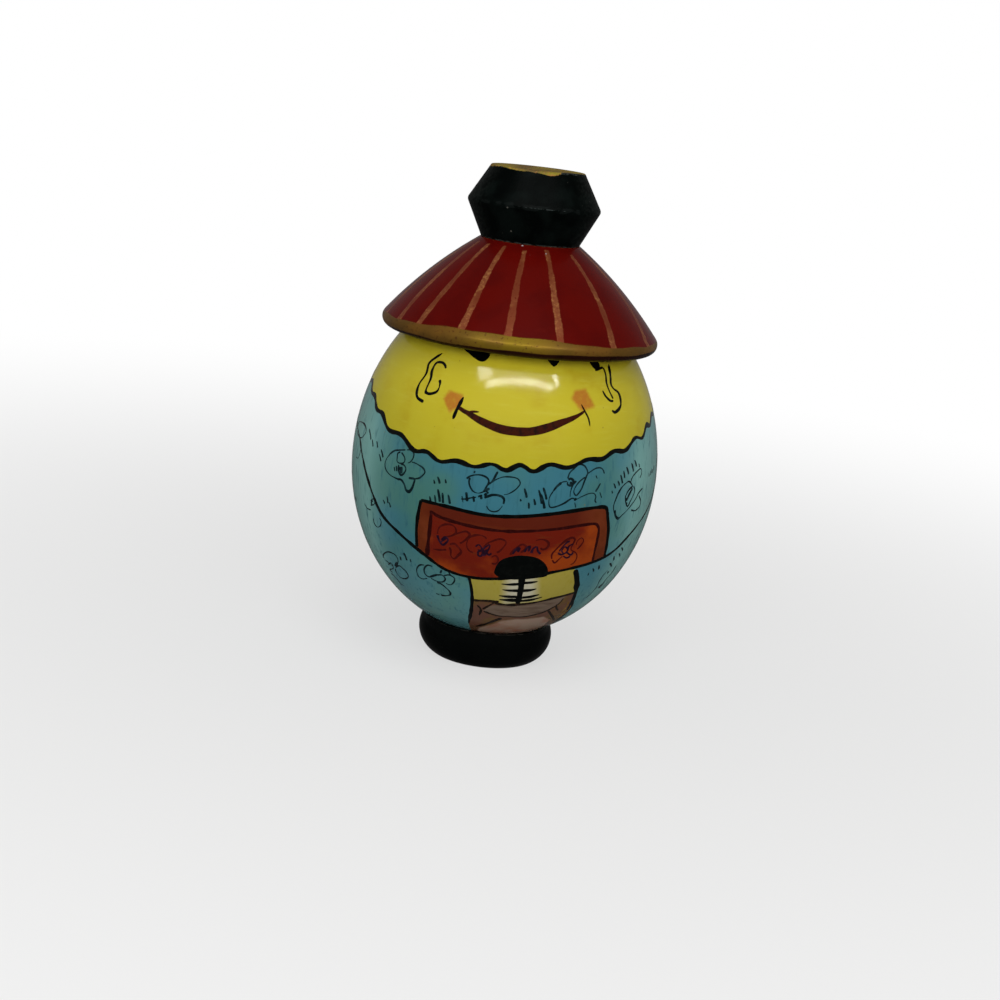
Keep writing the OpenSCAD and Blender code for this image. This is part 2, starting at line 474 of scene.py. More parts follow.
lean = np.radians(np.linspace(180, SOCKET_LEAN, 190))
half_height = np.where(np.cos(lean) < 0, EGG_DOWN, EGG_UP) - PAINT_SKIN
shell = np.column_stack([(EGG_R - PAINT_SKIN) * np.sin(lean), EGG_WAIST + half_height * np.cos(lean)])
shell[0, 0] = 0
socket = [(SOCKET_R, shell[-1, 1] + 0.02), (SOCKET_R, SOCKET_FLOOR), (0, SOCKET_FLOOR)]
egg_outline = spaced(eased(np.vstack([shell, socket]), cut=0.14), step=0.6)
egg, egg_turn, egg_radius, egg_height = turned("painted_egg", egg_outline, around=330)

# Coats inside an outline: how far each point of the egg lies inside it, in mm.
hem_back = [p for p in HEM if -36 < p[0] < 42][::-1]
lining_top = [p for p in HEM if -14 < p[0] < 28]
COATS = {
    "panel_mm": PANEL_LEFT + PANEL_TOP[1:] + PANEL_RIGHT[1:] + hem_back,
    "frame_mm": FRAME_LEFT + FRAME_TOP[1:] + FRAME_RIGHT[1:] + hem_back[1:-1],
    "lining_mm": LINING_LEFT[::-1] + lining_top + LINING_RIGHT,
    "upper_shoe_mm": UPPER_SHOE,
    "lower_shoe_mm": LOWER_SHOE,
    "comb_mm": COMB,
    "left_cheek_mm": LEFT_CHEEK,
    "right_cheek_mm": RIGHT_CHEEK,
}
for name, corners in COATS.items():
    keep(egg, name, inside(egg_turn, egg_height, corners))
keep(egg, "face_mm", egg_height - collar_level(egg_turn))
on_front = np.abs(egg_turn) < 80
keep(egg, "shoes_mm", np.where(on_front, level_at(egg_turn, LINING_LOW) - egg_height, -FAR))
bare_r = np.where(egg_height > EGG_WAIST, SOCKET_R + 0.25, BARE_FOOT_R)
keep(egg, "bare_mm", bare_r - egg_radius)

# Painted light and tones in the coats, from 0 to 1. The robe is painted paler at its sides seen from the
# camera as painted sheen, and paler at its foot as painted light, less so behind. The face is painted darker
# at the chin as painted shade, the panel warmer to its right and foot, redder along its head.
painted_sheen_at_side = ramp(np.abs(egg_turn - SEEN_FROM), 30, 58) ** 2.9 * (0.60 + 0.30 * ramp(egg_height, 50, 42))
painted_light_at_foot = 0.36 * ramp(egg_height, 27, 14)
sheen_less_behind = 1 - 0.4 * ramp(np.abs(egg_turn), 100, 140)
keep(egg, "robe_painted_sheen", np.maximum(painted_sheen_at_side * sheen_less_behind, painted_light_at_foot))
keep(egg, "chin", 0.45 * ramp(egg_height, 53, 44))
warm_sides = np.where(egg_turn > 0, egg_turn / 42, -egg_turn / 150)
keep(egg, "panel_warmth", np.clip(0.12 + warm_sides + (27 - egg_height) / 16, 0, 1))
keep(egg, "panel_head", 0.9 * ramp(egg_height, 30.8, 32.2) * ramp(np.abs(egg_turn + 2), 34, 25))

egg_paint, tree, shader = finish_of("egg_paint_under_lacquer")
place = place_of(tree)
broad = noise_at(tree, place, 14.0, 2.0)
cloud = noise_at(tree, place, 5.0, 3.0)
fine = noise_at(tree, place, 0.7, 3.0, 0.6)
level_strokes = use(tree, brush_marks, place=place, stretch=(0.25, 0.25, 1.6), size=1.2)
upright_strokes = use(tree, brush_marks, place=place, stretch=(1.5, 1.5, 0.22), size=1.1)
ragged = times(tree, sum_of(tree, "SUBTRACT", fine, 0.5), 0.3)


def painted_where(tree, name, ragged, soft=0.07):
    """Where a coat lies: inside its outline, with an edge as uneven as the brush left it."""
    edge = plus(tree, number_at(tree, name), ragged)
    return ease_between(tree, edge, -soft, soft)


robe = clouded(tree, broad, 0.40, 0.66, ROBE_BLUE, ROBE_GREEN)
# Painted sheen and painted light: the robe is paler at its sides seen from the camera and at its foot.
robe = over(tree, number_at(tree, "robe_painted_sheen"), robe, ROBE_PAINTED_SHEEN)
robe = clouded(tree, upright_strokes, 0.52, 0.80, robe, ROBE_DEEP)
face = clouded(tree, cloud, 0.48, 0.80, FACE_YELLOW, FACE_GOLD)
face = clouded(tree, level_strokes, 0.48, 0.86, face, FACE_PALE)
# Painted shade: the face is darker towards the chin.
face = over(tree, number_at(tree, "chin"), face, FACE_PAINTED_SHADE)
border = clouded(tree, cloud, 0.42, 0.64, PANEL_BORDER, PANEL_BORDER_WARM)
border = over(tree, number_at(tree, "panel_head"), border, PANEL_BORDER_RED)
clouds = times(tree, sum_of(tree, "SUBTRACT", cloud, 0.5), 1.6)
warm = plus(tree, number_at(tree, "panel_warmth"), clouds)
red = clouded(tree, warm, 0.25, 0.80, PANEL_RED, PANEL_ORANGE)
red = clouded(tree, level_strokes, 0.55, 0.85, red, PANEL_BORDER)
lined = clouded(tree, upright_strokes, 0.50, 0.80, LINING_YELLOW, LINING_GOLD)
shoe = clouded(tree, level_strokes, 0.36, 0.70, SHOE_UPPER, SHOE_SHADE)
sole = clouded(tree, cloud, 0.45, 0.68, SHOE_MAUVE, SHOE_ROSE)
ochre = clouded(tree, cloud, 0.40, 0.60, SHOE_BROWN, SHOE_OLIVE)

in_lining = painted_where(tree, "lining_mm", ragged)
colour = over(tree, in_lining, robe, lined)
comb = times(tree, painted_where(tree, "comb_mm", ragged, soft=1.3), 0.92)
colour = over(tree, comb, colour, LINING_WHITE)
SHOES = [("shoes_mm", 0.07, ochre), ("upper_shoe_mm", 0.15, shoe), ("lower_shoe_mm", 0.25, sole)]
for name, soft, paint in SHOES:
    covered = times(tree, painted_where(tree, name, ragged, soft), in_lining)
    colour = over(tree, covered, colour, paint)
for name, paint in [("panel_mm", border), ("frame_mm", red), ("face_mm", face)]:
    colour = over(tree, painted_where(tree, name, ragged), colour, paint)
blush_strength = plus(tree, times(tree, ease_between(tree, fine, 0.2, 0.6), 0.25), 0.70)
for name in ("left_cheek_mm", "right_cheek_mm"):
    blush = times(tree, painted_where(tree, name, ragged, soft=0.40), blush_strength)
    colour = over(tree, blush, colour, CHEEK_ORANGE)
speck = use(tree, specks, place=place, spacing=1.7, share=0.45, size=0.10)
colour = over(tree, times(tree, speck, 0.7), colour, PIGMENT_SPECK)
bare = painted_where(tree, "bare_mm", ragged, soft=0.15)
grain = use(tree, brush_marks, place=place, stretch=(3.0, 3.0, 0.15), size=1.0)
colour = over(tree, bare, colour, clouded(tree, grain, 0.42, 0.62, BARE_WOOD, BARE_GRAIN))
rough = plus(tree, times(tree, cloud, 0.10), 0.07)
rough = plus(tree, rough, times(tree, bare, 0.5))
flow = use(tree, lacquer_flow, place=place, wave_size=2.2, fine=0.12)
strokes = times(tree, upright_strokes, 0.25)
feed(tree, shader, Base_Color=colour, Roughness=rough,
     Normal=relief(tree, plus(tree, flow, strokes), 0.014))
shader.inputs["Specular IOR Level"].default_value = 0.26
egg.data.materials.append(egg_paint)
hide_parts("egg")
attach(egg, "egg")


# Drawing on the egg
# Every line is drawn freehand with a pointed brush or a pen, swelling and tapering as the hand presses, and
# lies a few hundredths of a millimetre proud of the paint under the last coat of lacquer.
INK_BLACK = (0.0008, 0.0014, 0.0012, 1)
INK_BLACK_THIN = (0.0026, 0.0034, 0.0028, 1)
INK_BROWN = (0.034, 0.0050, 0.0012, 1)
INK_BROWN_THIN = (0.010, 0.003, 0.002, 1)
INK_TEAL = (0.0016, 0.0075, 0.0095, 1)
INK_TEAL_THIN = (0.0070, 0.026, 0.032, 1)
INK_DARK_RED = (0.021, 0.0017, 0.0014, 1)
INK_DARK_RED_THIN = (0.040, 0.004, 0.003, 1)
INK_PETAL_RED = (0.046, 0.0034, 0.0026, 1)
INK_PETAL_RED_THIN = (0.075, 0.006, 0.004, 1)
INK_PURPLE = (0.012, 0.003, 0.010, 1)
INK_PURPLE_THIN = (0.030, 0.008, 0.020, 1)
INK_SHOE_BROWN = (0.011, 0.006, 0.003, 1)
INK_SHOE_BROWN_THIN = (0.030, 0.015, 0.008, 1)
INK_OCHRE = (0.16, 0.075, 0.010, 1)
INK_OCHRE_THIN = (0.26, 0.14, 0.03, 1)
INK_SKIN = 0.024
INK_SUNK = -0.02
HAND_BEAT = 1.2
hand = np.random.default_rng(7)


def brush_line(knots, width, ends=(0.8, 0.8), swell=0.12, step=0.3, skin=INK_SKIN):
    """One line of the brush. It follows its knots (turn, height) on the egg. Its half width is
    width / 2 (1 + swell n) sin(90 degrees f), where n wanders about 0 as the hand does and f rises from 0.15
    to 1 over each end's taper. Four points go across: two sunk in the paint and two proud of it."""
    smooth = curve_through(knots, 10)
    place = on_egg(smooth[:, 0], smooth[:, 1])[0]
    run = np.concatenate([[0], np.cumsum(np.linalg.norm(np.diff(place, axis=0), axis=1))])
    even = np.linspace(0, run[-1], max(4, int(run[-1] / step) + 2))
    turn, height = np.interp(even, run, smooth[:, 0]), np.interp(even, run, smooth[:, 1])
    centre, normal = on_egg(turn, height)
    along = np.gradient(centre, axis=0)
    across = np.cross(normal, along)
    across /= np.linalg.norm(across, axis=1, keepdims=True)
    beats = np.arange(0, even[-1] + 2 * HAND_BEAT, HAND_BEAT)
    wander = np.interp(even, beats, hand.normal(0, 1, len(beats)))
    rise = np.clip(0.15 + even / ends[0], 0, 1) * np.clip(0.15 + (even[-1] - even) / ends[1], 0, 1)
    half = width / 2 * np.maximum(1 + swell * wander, 0.3) * np.sin(np.pi / 2 * rise)
    ways = np.array([-1.06, -0.88, 0.88, 1.06])
    lifts = np.tile([INK_SUNK, skin, skin, INK_SUNK], (len(even), 1))
    lifts[[0, -1]] = INK_SUNK
    points = (centre[:, None] + across[:, None] * (half[:, None] * ways)[..., None]
              + normal[:, None] * lifts[..., None])
    i, j = np.meshgrid(np.arange(len(even) - 1), np.arange(3), indexing="ij")
    at = (4 * i + j).ravel()
    faces = np.column_stack([at, at + 4, at + 5, at + 1]).tolist()
    return points.reshape(-1, 3), np.repeat(normal, 4, axis=0), faces


def brush_patch(corners, skin=INK_SKIN):
    """A filled spot: its closed outline, drawn smooth, is carried in rings towards its middle, and closed
    there by one point. The outermost ring is sunk in the paint."""
    closed = list(corners) + [corners[0]]
    edge = curve_through([corners[-1]] + closed + [corners[1]], 6)[6:-7]
    middle = edge.mean(0)
    shares = np.array([1.03, 0.96, 0.66, 0.33])
    rings = middle + (edge - middle)[None] * shares[:, None, None]
    n = len(edge)
    flat = np.vstack([rings.reshape(-1, 2), middle[None]])
    lifts = np.concatenate([np.full(n, INK_SUNK), np.full(3 * n + 1, skin)])
    centre, normal = on_egg(flat[:, 0], flat[:, 1])
    i, j = np.meshgrid(np.arange(3), np.arange(n), indexing="ij")
    a, b = (i * n + j).ravel(), (i * n + (j + 1) % n).ravel()
    faces = np.column_stack([a, b, b + n, a + n])
    last = np.column_stack([3 * n + np.arange(n), 3 * n + (np.arange(n) + 1) % n, np.full(n, 4 * n)])
    run = np.roll(edge, -1, axis=0)
    if (edge[:, 0] * run[:, 1] - run[:, 0] * edge[:, 1]).sum() < 0:
        faces, last = faces[:, ::-1], last[:, ::-1]
    return centre + normal * lifts[:, None], normal, faces.tolist() + last.tolist()


def drawn_piece(name, marks, material):
    """One piece of many marks, shaded with the egg's own normals, so that the lacquer runs over them."""
    first = np.cumsum([0] + [len(m[0]) for m in marks])
    faces = [[v + start for v in face] for start, m in zip(first, marks) for face in m[2]]
    mesh = bpy.data.meshes.new(name)
    mesh.from_pydata(np.vstack([m[0] for m in marks]) * MM, [], faces)
    mesh.shade_smooth()
    mesh.normals_split_custom_set_from_vertices(np.vstack([m[1] for m in marks]))
    piece = bpy.data.objects.new(name, mesh)
    bpy.context.scene.collection.objects.link(piece)
    piece.data.materials.append(material)
    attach(piece, "egg")
    return piece


def ink(name, thick, thin, gloss=0.10):
    """Ink that is deeper where it pooled and lets the ground through where the brush ran dry."""
    made, tree, shader = finish_of(name)
    place = place_of(tree)
    pooled = noise_at(tree, place, 0.9, 3.0, 0.6)
    colour = clouded(tree, pooled, 0.46, 0.70, thick, thin)
    rough = plus(tree, times(tree, pooled, 0.12), gloss)
    flow = use(tree, lacquer_flow, place=place, wave_size=2.2, fine=0.12)
    feed(tree, shader, Base_Color=colour, Roughness=rough, Normal=relief(tree, flow, 0.014))
    shader.inputs["Specular IOR Level"].default_value = 0.16
    return made


def laid(shape, turn, height, size=1.0, lean=0.0):
    """A small drawing in mm (right, up), leaned to the left by some degrees, laid on the egg at a turn and a
    height."""
    x, y = (np.asarray(shape, float) * size).T
    lean = np.radians(lean)
    x, y = x * np.cos(lean) - y * np.sin(lean), x * np.sin(lean) + y * np.cos(lean)
    up = np.linalg.norm(on_egg(turn, height)[1][:2])
    level = height + y * up
    radius = np.linalg.norm(on_egg(turn + 0 * level, level)[0][:, :2], axis=1)
    return np.column_stack([turn + np.degrees(x / radius), level])


around = np.arange(-180, 180.1, 2.0)
LEFT_EAR = [(-41.2, 59.3), (-43.8, 58.3), (-45.8, 57.2), (-44.8, 55.5), (-46.1, 53.6), (-45.7, 52.1),
            (-44.2, 51.3), (-40.7, 50.9)]
LEFT_EAR_INNER = [(-36.1, 56.9), (-37.3, 57.5), (-39.4, 57.8), (-42.1, 57.5), (-42.5, 56.2), (-41.5, 54.9),
                  (-41.7, 53.3), (-41.4, 52.5), (-38.9, 52.5), (-36.3, 53.2), (-36.3, 54.5), (-37.4, 55.1)]
RIGHT_EAR = [(43.7, 60.2), (42.3, 58.3), (41.1, 57), (42, 56.2), (44.3, 55.6), (44.9, 54.6), (43.9, 53.3),
             (40.2, 52.4), (38.1, 52.8)]
RIGHT_EAR_INNER = [(33.2, 59.2), (35.9, 59.4), (38.9, 59.6), (39.4, 58.6), (38.5, 57.2), (39, 55.9),
                   (40.4, 54.5)]
RIGHT_EAR_HOOK = [(40.6, 54.3), (38.5, 54.3), (36.2, 55.1), (35, 56.1)]
black_marks = [
    brush_line(np.column_stack([around, collar_level(around)]), 0.80, (0.1, 0.1), 0.18),
    brush_line(PANEL_LEFT, 0.70, (0.3, 0.2)),
    brush_line([(-34.6, 34.3)] + PANEL_TOP[1:-1] + [(34.6, 36.1), (36.6, 35)] + PANEL_RIGHT[1:],
               0.68, (0.3, 0.3)),
    brush_line([p for p in HEM if -77 < p[0] < -30], 0.84, (10.0, 0.1), 0.18),
    brush_line([p for p in HEM if -45 < p[0] < 55], 0.68, (0.1, 0.1), 0.12),
    brush_line([p for p in HEM if 45 < p[0] < 77], 0.58, (0.1, 2.0)),
    brush_line([p for p in HEM if 60 < p[0]], 0.40, (6.0, 0.1), 0.2),
    brush_line([p for p in HEM if p[0] < -68], 0.36, (0.1, 3.0), 0.2),
    brush_line(LEFT_EAR, 0.54, (1.2, 0.4), 0.2),
    brush_line(LEFT_EAR_INNER, 0.48, (0.4, 0.6), 0.25),
    brush_line([(-41.6, 53), (-41.4, 52.5), (-39.6, 52.5)], 0.62, (0.3, 0.9)),
    brush_line(RIGHT_EAR, 0.55, (1.0, 0.5), 0.2),
    brush_line(RIGHT_EAR_INNER, 0.50, (0.5, 0.3), 0.25),
    brush_line(RIGHT_EAR_HOOK, 0.52, (0.2, 0.9), 0.2),
    brush_line([(-24.5, 53.2), (-25.4, 51.8), (-26.2, 50.5), (-26.7, 49.1)], 0.62, (1.6, 0.9)),
    brush_line([(23.2, 53.9), (24.7, 52.7), (26.1, 51.5), (26.6, 50.1)], 0.34, (1.2, 1.2)),
    brush_patch([(-4.3, 22.8), (-4.4, 23.7), (-3.7, 24.8), (-2.2, 25.8), (0.6, 26.5), (3.9, 26.9),
                 (7.7, 26.9), (11, 26.6), (13.9, 25.8), (16, 24.7), (16.9, 23.6), (16.6, 22.9),
                 (12.9, 22.5), (5.7, 22), (-1.2, 22)]),
    brush_line([(6.7, 22.8), (7.6, 19.9), (8.2, 17), (8.2, 16.4)], 1.15, (0.1, 1.2), 0.10),
    brush_line(LINING_LEFT[:-1], 0.70, (0.6, 5.0), 0.18),
    brush_line(LINING_RIGHT[:-1], 1.05, (0.8, 2.0), 0.18),
]

# Teeth of the comb beside the stem: each is pulled out from the stem and fades.
TEETH = [[(7, 21.1), (2.2, 20.8), (-1.2, 20.8)], [(7.2, 19.6), (2.7, 19.5), (-0.5, 19.6)],
         [(7.6, 18.2), (2.5, 18.1), (-1.4, 18.2)], [(7.8, 17.4), (2.8, 17.3), (-1, 17.3)],
         [(7.2, 21.3), (11, 21.5), (14, 21.8)], [(7.6, 19.6), (11.6, 19.8), (14.6, 20.2)],
         [(8, 18), (12.7, 18.3), (16.9, 18.9)], [(8.2, 17.2), (13.8, 17.6), (18.9, 18.3)]]
for tooth in TEETH:
    black_marks.append(brush_line(tooth, 0.74, (0.05, 2.4), 0.2))

# The eyes are two round strokes, whose ends alone look out from under the brim, with brows above them.
black_marks += [
    brush_patch([(-32.4, 60.9), (-28.5, 60.1), (-24.3, 59.4), (-21.4, 59.1), (-19.2, 59.4), (-18.0, 60.4),
                 (-21, 61.2), (-26, 61.8)]),
    brush_line([(-32.4, 60.9), (-31, 62.4), (-27, 63.6), (-22.5, 63.4), (-19.2, 62), (-18.4, 60.4)],
               0.9, (0.4, 0.4)),
    brush_patch([(9.3, 60.7), (10.6, 60.0), (12, 59.6), (13.6, 59.9), (15.1, 60.6), (14, 61.4), (11, 61.6)]),
    brush_line([(10.6, 60.4), (13, 62.3), (18.5, 63.9), (26, 63.9), (31.5, 62.3), (34.4, 60.1)],
               0.9, (0.4, 0.5)),
    brush_patch([(31.6, 60.7), (32.7, 59.7), (34.6, 59.3), (36.7, 59.5), (37.4, 60.3), (35.6, 61.1),
                 (33.6, 61.3)]),
    brush_line([(-33, 65.2), (-27, 66.4), (-20, 65.8)], 0.42, (2.0, 2.0)),
    brush_line([(13, 65.8), (21, 66.6), (31, 65.4)], 0.42, (2.0, 2.0)),
]
drawn_piece("black_brush_lines", black_marks, ink("black_ink", INK_BLACK, INK_BLACK_THIN))

# Mouth: one long stroke, thickest in the middle, with a barb where the brush was set down.
MOUTH = [(-25.2, 51.2), (-21.3, 50.6), (-16.6, 49.8), (-12.1, 49.2), (-7.8, 48.8), (-3.3, 48.7), (1, 48.8),
         (5.3, 49.2), (9.9, 49.9), (14.3, 50.7), (18.5, 51.4), (22.1, 52.1), (24.9, 52.8)]
mouth_marks = [
    brush_line(MOUTH, 1.50, (9.0, 12.0), 0.05),
    brush_line(MOUTH, 0.5, (0.3, 1.0), 0.1, skin=INK_SKIN - 0.006),
    brush_line([(-21.3, 50.8), (-19.5, 51), (-17, 51.1)], 0.35, (0.2, 0.9)),
    brush_line([(-25.6, 51.3), (-23.5, 50.9), (-20.5, 50.4)], 0.66, (0.4, 0.8)),
]
drawn_piece("mouth_stroke", mouth_marks, ink("brown_mouth_ink", INK_BROWN, INK_BROWN_THIN))

# Flowers on the robe: each is scribbled in a thin line that loops back on itself, and in a few thicker
# strokes. They are drawn here in mm round their own middles, thin lines first and thick ones after them.
# GROWN says where they grow on the egg: which flower, its turn, height and size, and how far it leans.
FLOWER_SKIN = INK_SKIN - 0.010
FLOWER_WIDTHS = (0.29, 0.50)
FLOWERS = [
    ([[(0, 3.6), (-1.6, 3.2), (-2.8, 2.8), (-3.9, 1.8), (-4.6, 0.7), (-4.7, -0.2), (-4.2, -1), (-3, -1.6),
       (-1.7, -1.8), (-0.4, -1.9)],
      [(2.7, -1), (3.7, -0.6), (4.4, 0.1), (4.7, 0.7), (4.2, 1.3), (3.3, 1.6), (2.4, 1.8), (1.5, 1.8)],
      [(-1.1, 3), (-1.8, 2.6), (-1.8, 1.9), (-1.7, 1.2), (-1.2, 1), (-0.2, 1.2), (0.1, 1.8), (-0.2, 2.4),
       (-1.1, 3)],
      [(-1.1, 0.8), (-1.2, 0.1), (-0.8, -0.7), (-0.3, -1), (0.3, -0.5), (0.6, 0.3), (0.1, 0.9), (-0.9, 0.9)],
      [(0, 3.6), (1.1, 3.8), (1.8, 3.4), (1.8, 2.5), (1.3, 1.7), (0.7, 1.4)],
      [(-2.3, 0.2), (-1.8, -0.8)], [(-1.8, 0.5), (-1.4, -0.7)]],
     [[(-1.2, -1.9), (-0.2, -1.8), (0.6, -2.4), (1.1, -3.3), (1.8, -3.5), (2.4, -2.7), (2.7, -1.7),
       (2.7, -1), (1.3, -1.1)],
      [(-1.1, 0.6), (-0.9, -0.4)], [(-0.6, 0.6), (-0.3, -0.8)]]),
    ([[(-3.9, 1.5), (-3.1, 2.2), (-1.7, 2.6), (-0.5, 2.4), (0.1, 1.8), (-0.1, 0.9), (-0.5, 0.1)],
      [(-3.2, 2), (-3.3, 1.1), (-3, 0.3), (-2.4, -0.4), (-1.5, -0.6), (-0.5, -0.2)],
      [(-0.4, 0.1), (0, 1.1), (0.7, 1.7), (1.5, 2.3), (2.6, 2.8), (4, 2.9), (5, 2.7), (5.5, 2), (5.2, 1.3),
       (4.6, 0.6), (3.6, -0.1), (2.8, -0.3)],
      [(1.5, 3.7), (1.2, 3), (0.8, 2), (0.2, 1.1)],
      [(0.1, -2.5), (0.7, -3.3), (1.6, -3.5), (2.4, -3.1), (3, -2.1)],
      [(-4.5, -2.1), (-3.7, -2), (-2.6, -1.6), (-1.6, -1.3)],
      [(-4.3, -1.4), (-3.9, -2.8)], [(-2.3, -1.1), (-2, -2.4)], [(-2.5, 3.3), (-2.6, 2.6)]],
     [[(-0.5, -1.3), (0.1, -1), (0.9, -0.6), (1.8, -0.5), (2.7, -0.7), (3.1, -1.2), (3, -2.1)],
      [(-3.6, -0.6), (-3.2, -2.5)], [(-1.6, -1.3), (-0.6, -0.8)], [(-3.8, -2), (-2.9, -1.9)],
      [(-0.8, -0.3), (-0.2, 0.1), (0.5, 0.6)], [(-0.7, 0.3), (-0.2, 0), (0.4, -0.5)],
      [(-0.5, -0.4), (0.1, -0.9)], [(-1.2, -1.4), (-0.5, -1.3)]]),
    ([[(-1.8, 0.9), (-2.9, 0.7), (-3.8, -0.1), (-4.4, -1), (-4.9, -2), (-4.9, -3.1), (-4.5, -3.8),
       (-3.4, -3.6), (-2.1, -3), (-0.7, -2.1), (0.1, -2.3), (1.2, -1.8), (2.6, -1.3), (3.7, -1.3),
       (4.2, -1.9), (4.1, -2.6), (4.6, -3.1)],
      [(-1.9, 1.2), (-1.6, 2.3), (-0.8, 3.1), (0.1, 3.8), (1.1, 3.7), (1.7, 3.1), (2, 2.4), (1.7, 1.6),
       (1.3, 0.5), (1, -0.4), (0.5, -1.2), (0, -1.6), (-0.5, -0.9), (-0.2, 0), (0.5, 0.9), (1.6, 1.7)],
      [(-0.1, 1.1), (-0.8, 0.2), (-1.1, -0.9), (-1.1, -2)],
      [(1.8, 2.1), (2.6, 2.6), (3.6, 3.1), (4.5, 3.2), (5.2, 2.9), (5.7, 2)],
      [(5, 0.6), (4.4, -0.4), (3.9, -1.1)], [(3.7, 2), (4.2, 1.2)], [(-0.1, -2.7), (0.3, -3.9)],
      [(4.9, -1), (5.6, -2.3)]],
     [[(-1.8, 1), (-1.3, 1.4), (-0.7, 0.9), (-1, 0.2), (-1.8, 0.3), (-1.8, 1)], [(-1.6, 0.7), (-0.8, 0.5)],
      [(-2.9, 0.7), (-3.8, -0.1), (-4.4, -1)], [(-0.3, -2.1), (0.3, -2.5)]]),
    ([[(1.6, 1.6), (0.5, 2.5), (-0.4, 2.4), (-1.5, 1.8), (-2.4, 0.8), (-3, -0.4), (-3.3, -1.7), (-2.7, -3),
       (-1.5, -4.1), (-0.3, -3.5), (1, -2.7), (2.1, -1.9), (3.2, -1), (4.1, 0), (5.6, 0.7)],
      [(1.9, 1.6), (1, 1.3), (0.2, 0.7), (-0.3, -0.2), (0, -1.3), (0.8, -2.1), (1.3, -1.4), (2, -0.4),
       (2.5, 0.6), (1.9, 1.6)],
      [(0.8, 2.3), (1.4, 3.3), (2.7, 4), (4.1, 4.4), (4.6, 3.6), (3.9, 2.6)],
      [(4.2, -0.4), (5.5, -1.9), (5.1, -2.9), (3.6, -3.3), (2.1, -2.9)]],
     [[(0.2, -0.8), (0.9, 0.3), (1.7, 1.3)], [(-0.5, -0.3), (0.5, -1)], [(0, -1.3), (0.7, -1.7)],
      [(-2.9, -2.3), (-2.3, -3.5), (-1.5, -4.1), (-1, -4)]]),
    ([[(-3.2, 0.7), (-3, 1.7), (-1, 3.1), (0.6, 3.4), (1.6, 3.1), (1.7, 2), (0.8, 0.5)],
      [(-2.9, 0.6), (-1.7, 0.3), (-0.4, -0.1)],
      [(-0.1, -0.3), (1.5, 0.8), (2.4, 0.4), (3.1, -0.3), (2.9, -1.3), (1.6, -2.2), (0.2, -2.3),
       (-0.4, -1.3), (-0.1, -0.3)],
      [(-2.5, -0.4), (-0.9, 0.6), (-0.9, -0.6), (-2.6, -1.6), (-1.9, -2.1)],
      [(-2.8, -2.4), (-1.9, -3), (-1.1, -4.2), (-0.1, -4.6)], [(2.8, 3.5), (2.6, 2.3)],
      [(5.3, 3.8), (5.2, 2.7)]],
     [[(3.9, 4.7), (4.2, 3.9), (4.3, 2.8)], [(0, 0), (1.3, 1.6)]]),
    ([[(-2, 2.2), (-3.1, 1.9), (-3.9, 0.9), (-4.1, -0.3), (-3.8, -1.2), (-2.9, -1.4), (-1.8, -0.8)],
      [(-0.3, 2.3), (-1.3, 2.4), (-2, 1.8), (-2.4, 0.7), (-2.1, -0.2), (-1.3, -0.4), (0.1, 0.5), (1.3, 0.8),
       (1.8, 0), (1.1, -0.9), (-0.2, -1), (-1.3, -0.6)],
      [(1.5, 0.7), (2.7, 1.2), (3.6, 0.7), (3.4, -0.3), (2.6, -1.2), (1.6, -1)], [(2.6, 1.9), (3, 1.1)],
      [(1.4, 2.1), (0.9, 1)], [(0, -4.5), (-1, -4.3)]],
     [[(-0.2, -1.3), (0.8, -1.5), (1.6, -2.2), (2.2, -3), (2.1, -3.8), (1.2, -4.3), (0, -4.5)],
      [(-1.3, -0.4), (0.1, 0.5), (1.3, 0.8)]]),
    ([[(0.2, 2.9), (-0.6, 1.9), (-0.7, 0.4), (-0.2, -1.2), (-0.3, -3), (-1, -4.2)],
      [(2.5, 3.6), (2.4, 1.7), (1.6, 0.1), (1.8, -1.5), (1, -2)]],
     [[(1.9, -0.4), (1.3, -1.3), (0.6, -1.7)], [(0.9, 2.5), (0.3, 1.9)]]),
    ([[(-2.8, 2.9), (0.4, 3.1), (2, 2.5), (2, 1.6), (0.4, 0.5), (-2, 0.5), (-3.8, 1)],
      [(-0.2, 0.3), (1.1, -0.7), (1.1, -2), (0.3, -3.3), (-1.2, -3.5)],
      [(-3.8, 1), (-3.9, 2.2), (-2.8, 2.9)]],
     []),
    ([[(-0.4, 2), (0.7, 2.7), (1.4, 2.3), (0.6, 1.5), (-0.5, 1.2)], [(-3.1, 0.9), (-1.9, 0.2), (-0.3, 0.3)],
      [(0.1, -1.1), (0.2, -2.1), (1.1, -2.6), (2.2, -2.1), (2.8, -1.1), (2.3, -0.3)]],
     [[(0.7, 2.5), (-0.1, 1.7), (0.6, 1.5)]]),
]
GROWN = [(0, -43.3, 38.7, 1.0, 0), (1, -10.3, 38.1, 1.0, 0), (2, 21.6, 40, 1.0, 0), (3, 45.9, 37.7, 1.0, 0),
         (4, -52.8, 19.2, 1.0, 0), (5, -29.1, 20, 1.0, 0), (6, 49.4, 20.3, 1.0, 0), (7, -74.5, 40.5, 1.0, 0),
         (8, -60.7, 28.8, 1.0, 0), (1, 82, 40.5, 0.95, 8), (2, 108, 35.5, 1.0, -14), (0, 137, 39, 1.0, 10),
         (3, 165, 32, 1.05, 6), (2, -104, 36, 0.95, 12), (0, -137, 33, 1.0, -16), (1, -164, 40, 0.95, 5),
         (5, -91, 21, 0.95, -8), (4, -128, 18.5, 0.9, 12), (5, 178, 19.5, 0.95, 25), (4, 141, 22, 0.9, -8),
         (5, 99, 22, 0.95, 10)]
flower_marks = []
for kind, turn, height, size, lean in GROWN:
    for lines, width in zip(FLOWERS[kind], FLOWER_WIDTHS):
        for line in lines:
            knots = laid(line, turn, height, size, lean)
            flower_marks.append(brush_line(knots, width, (0.4, 0.4), 0.28, step=0.28, skin=FLOWER_SKIN))

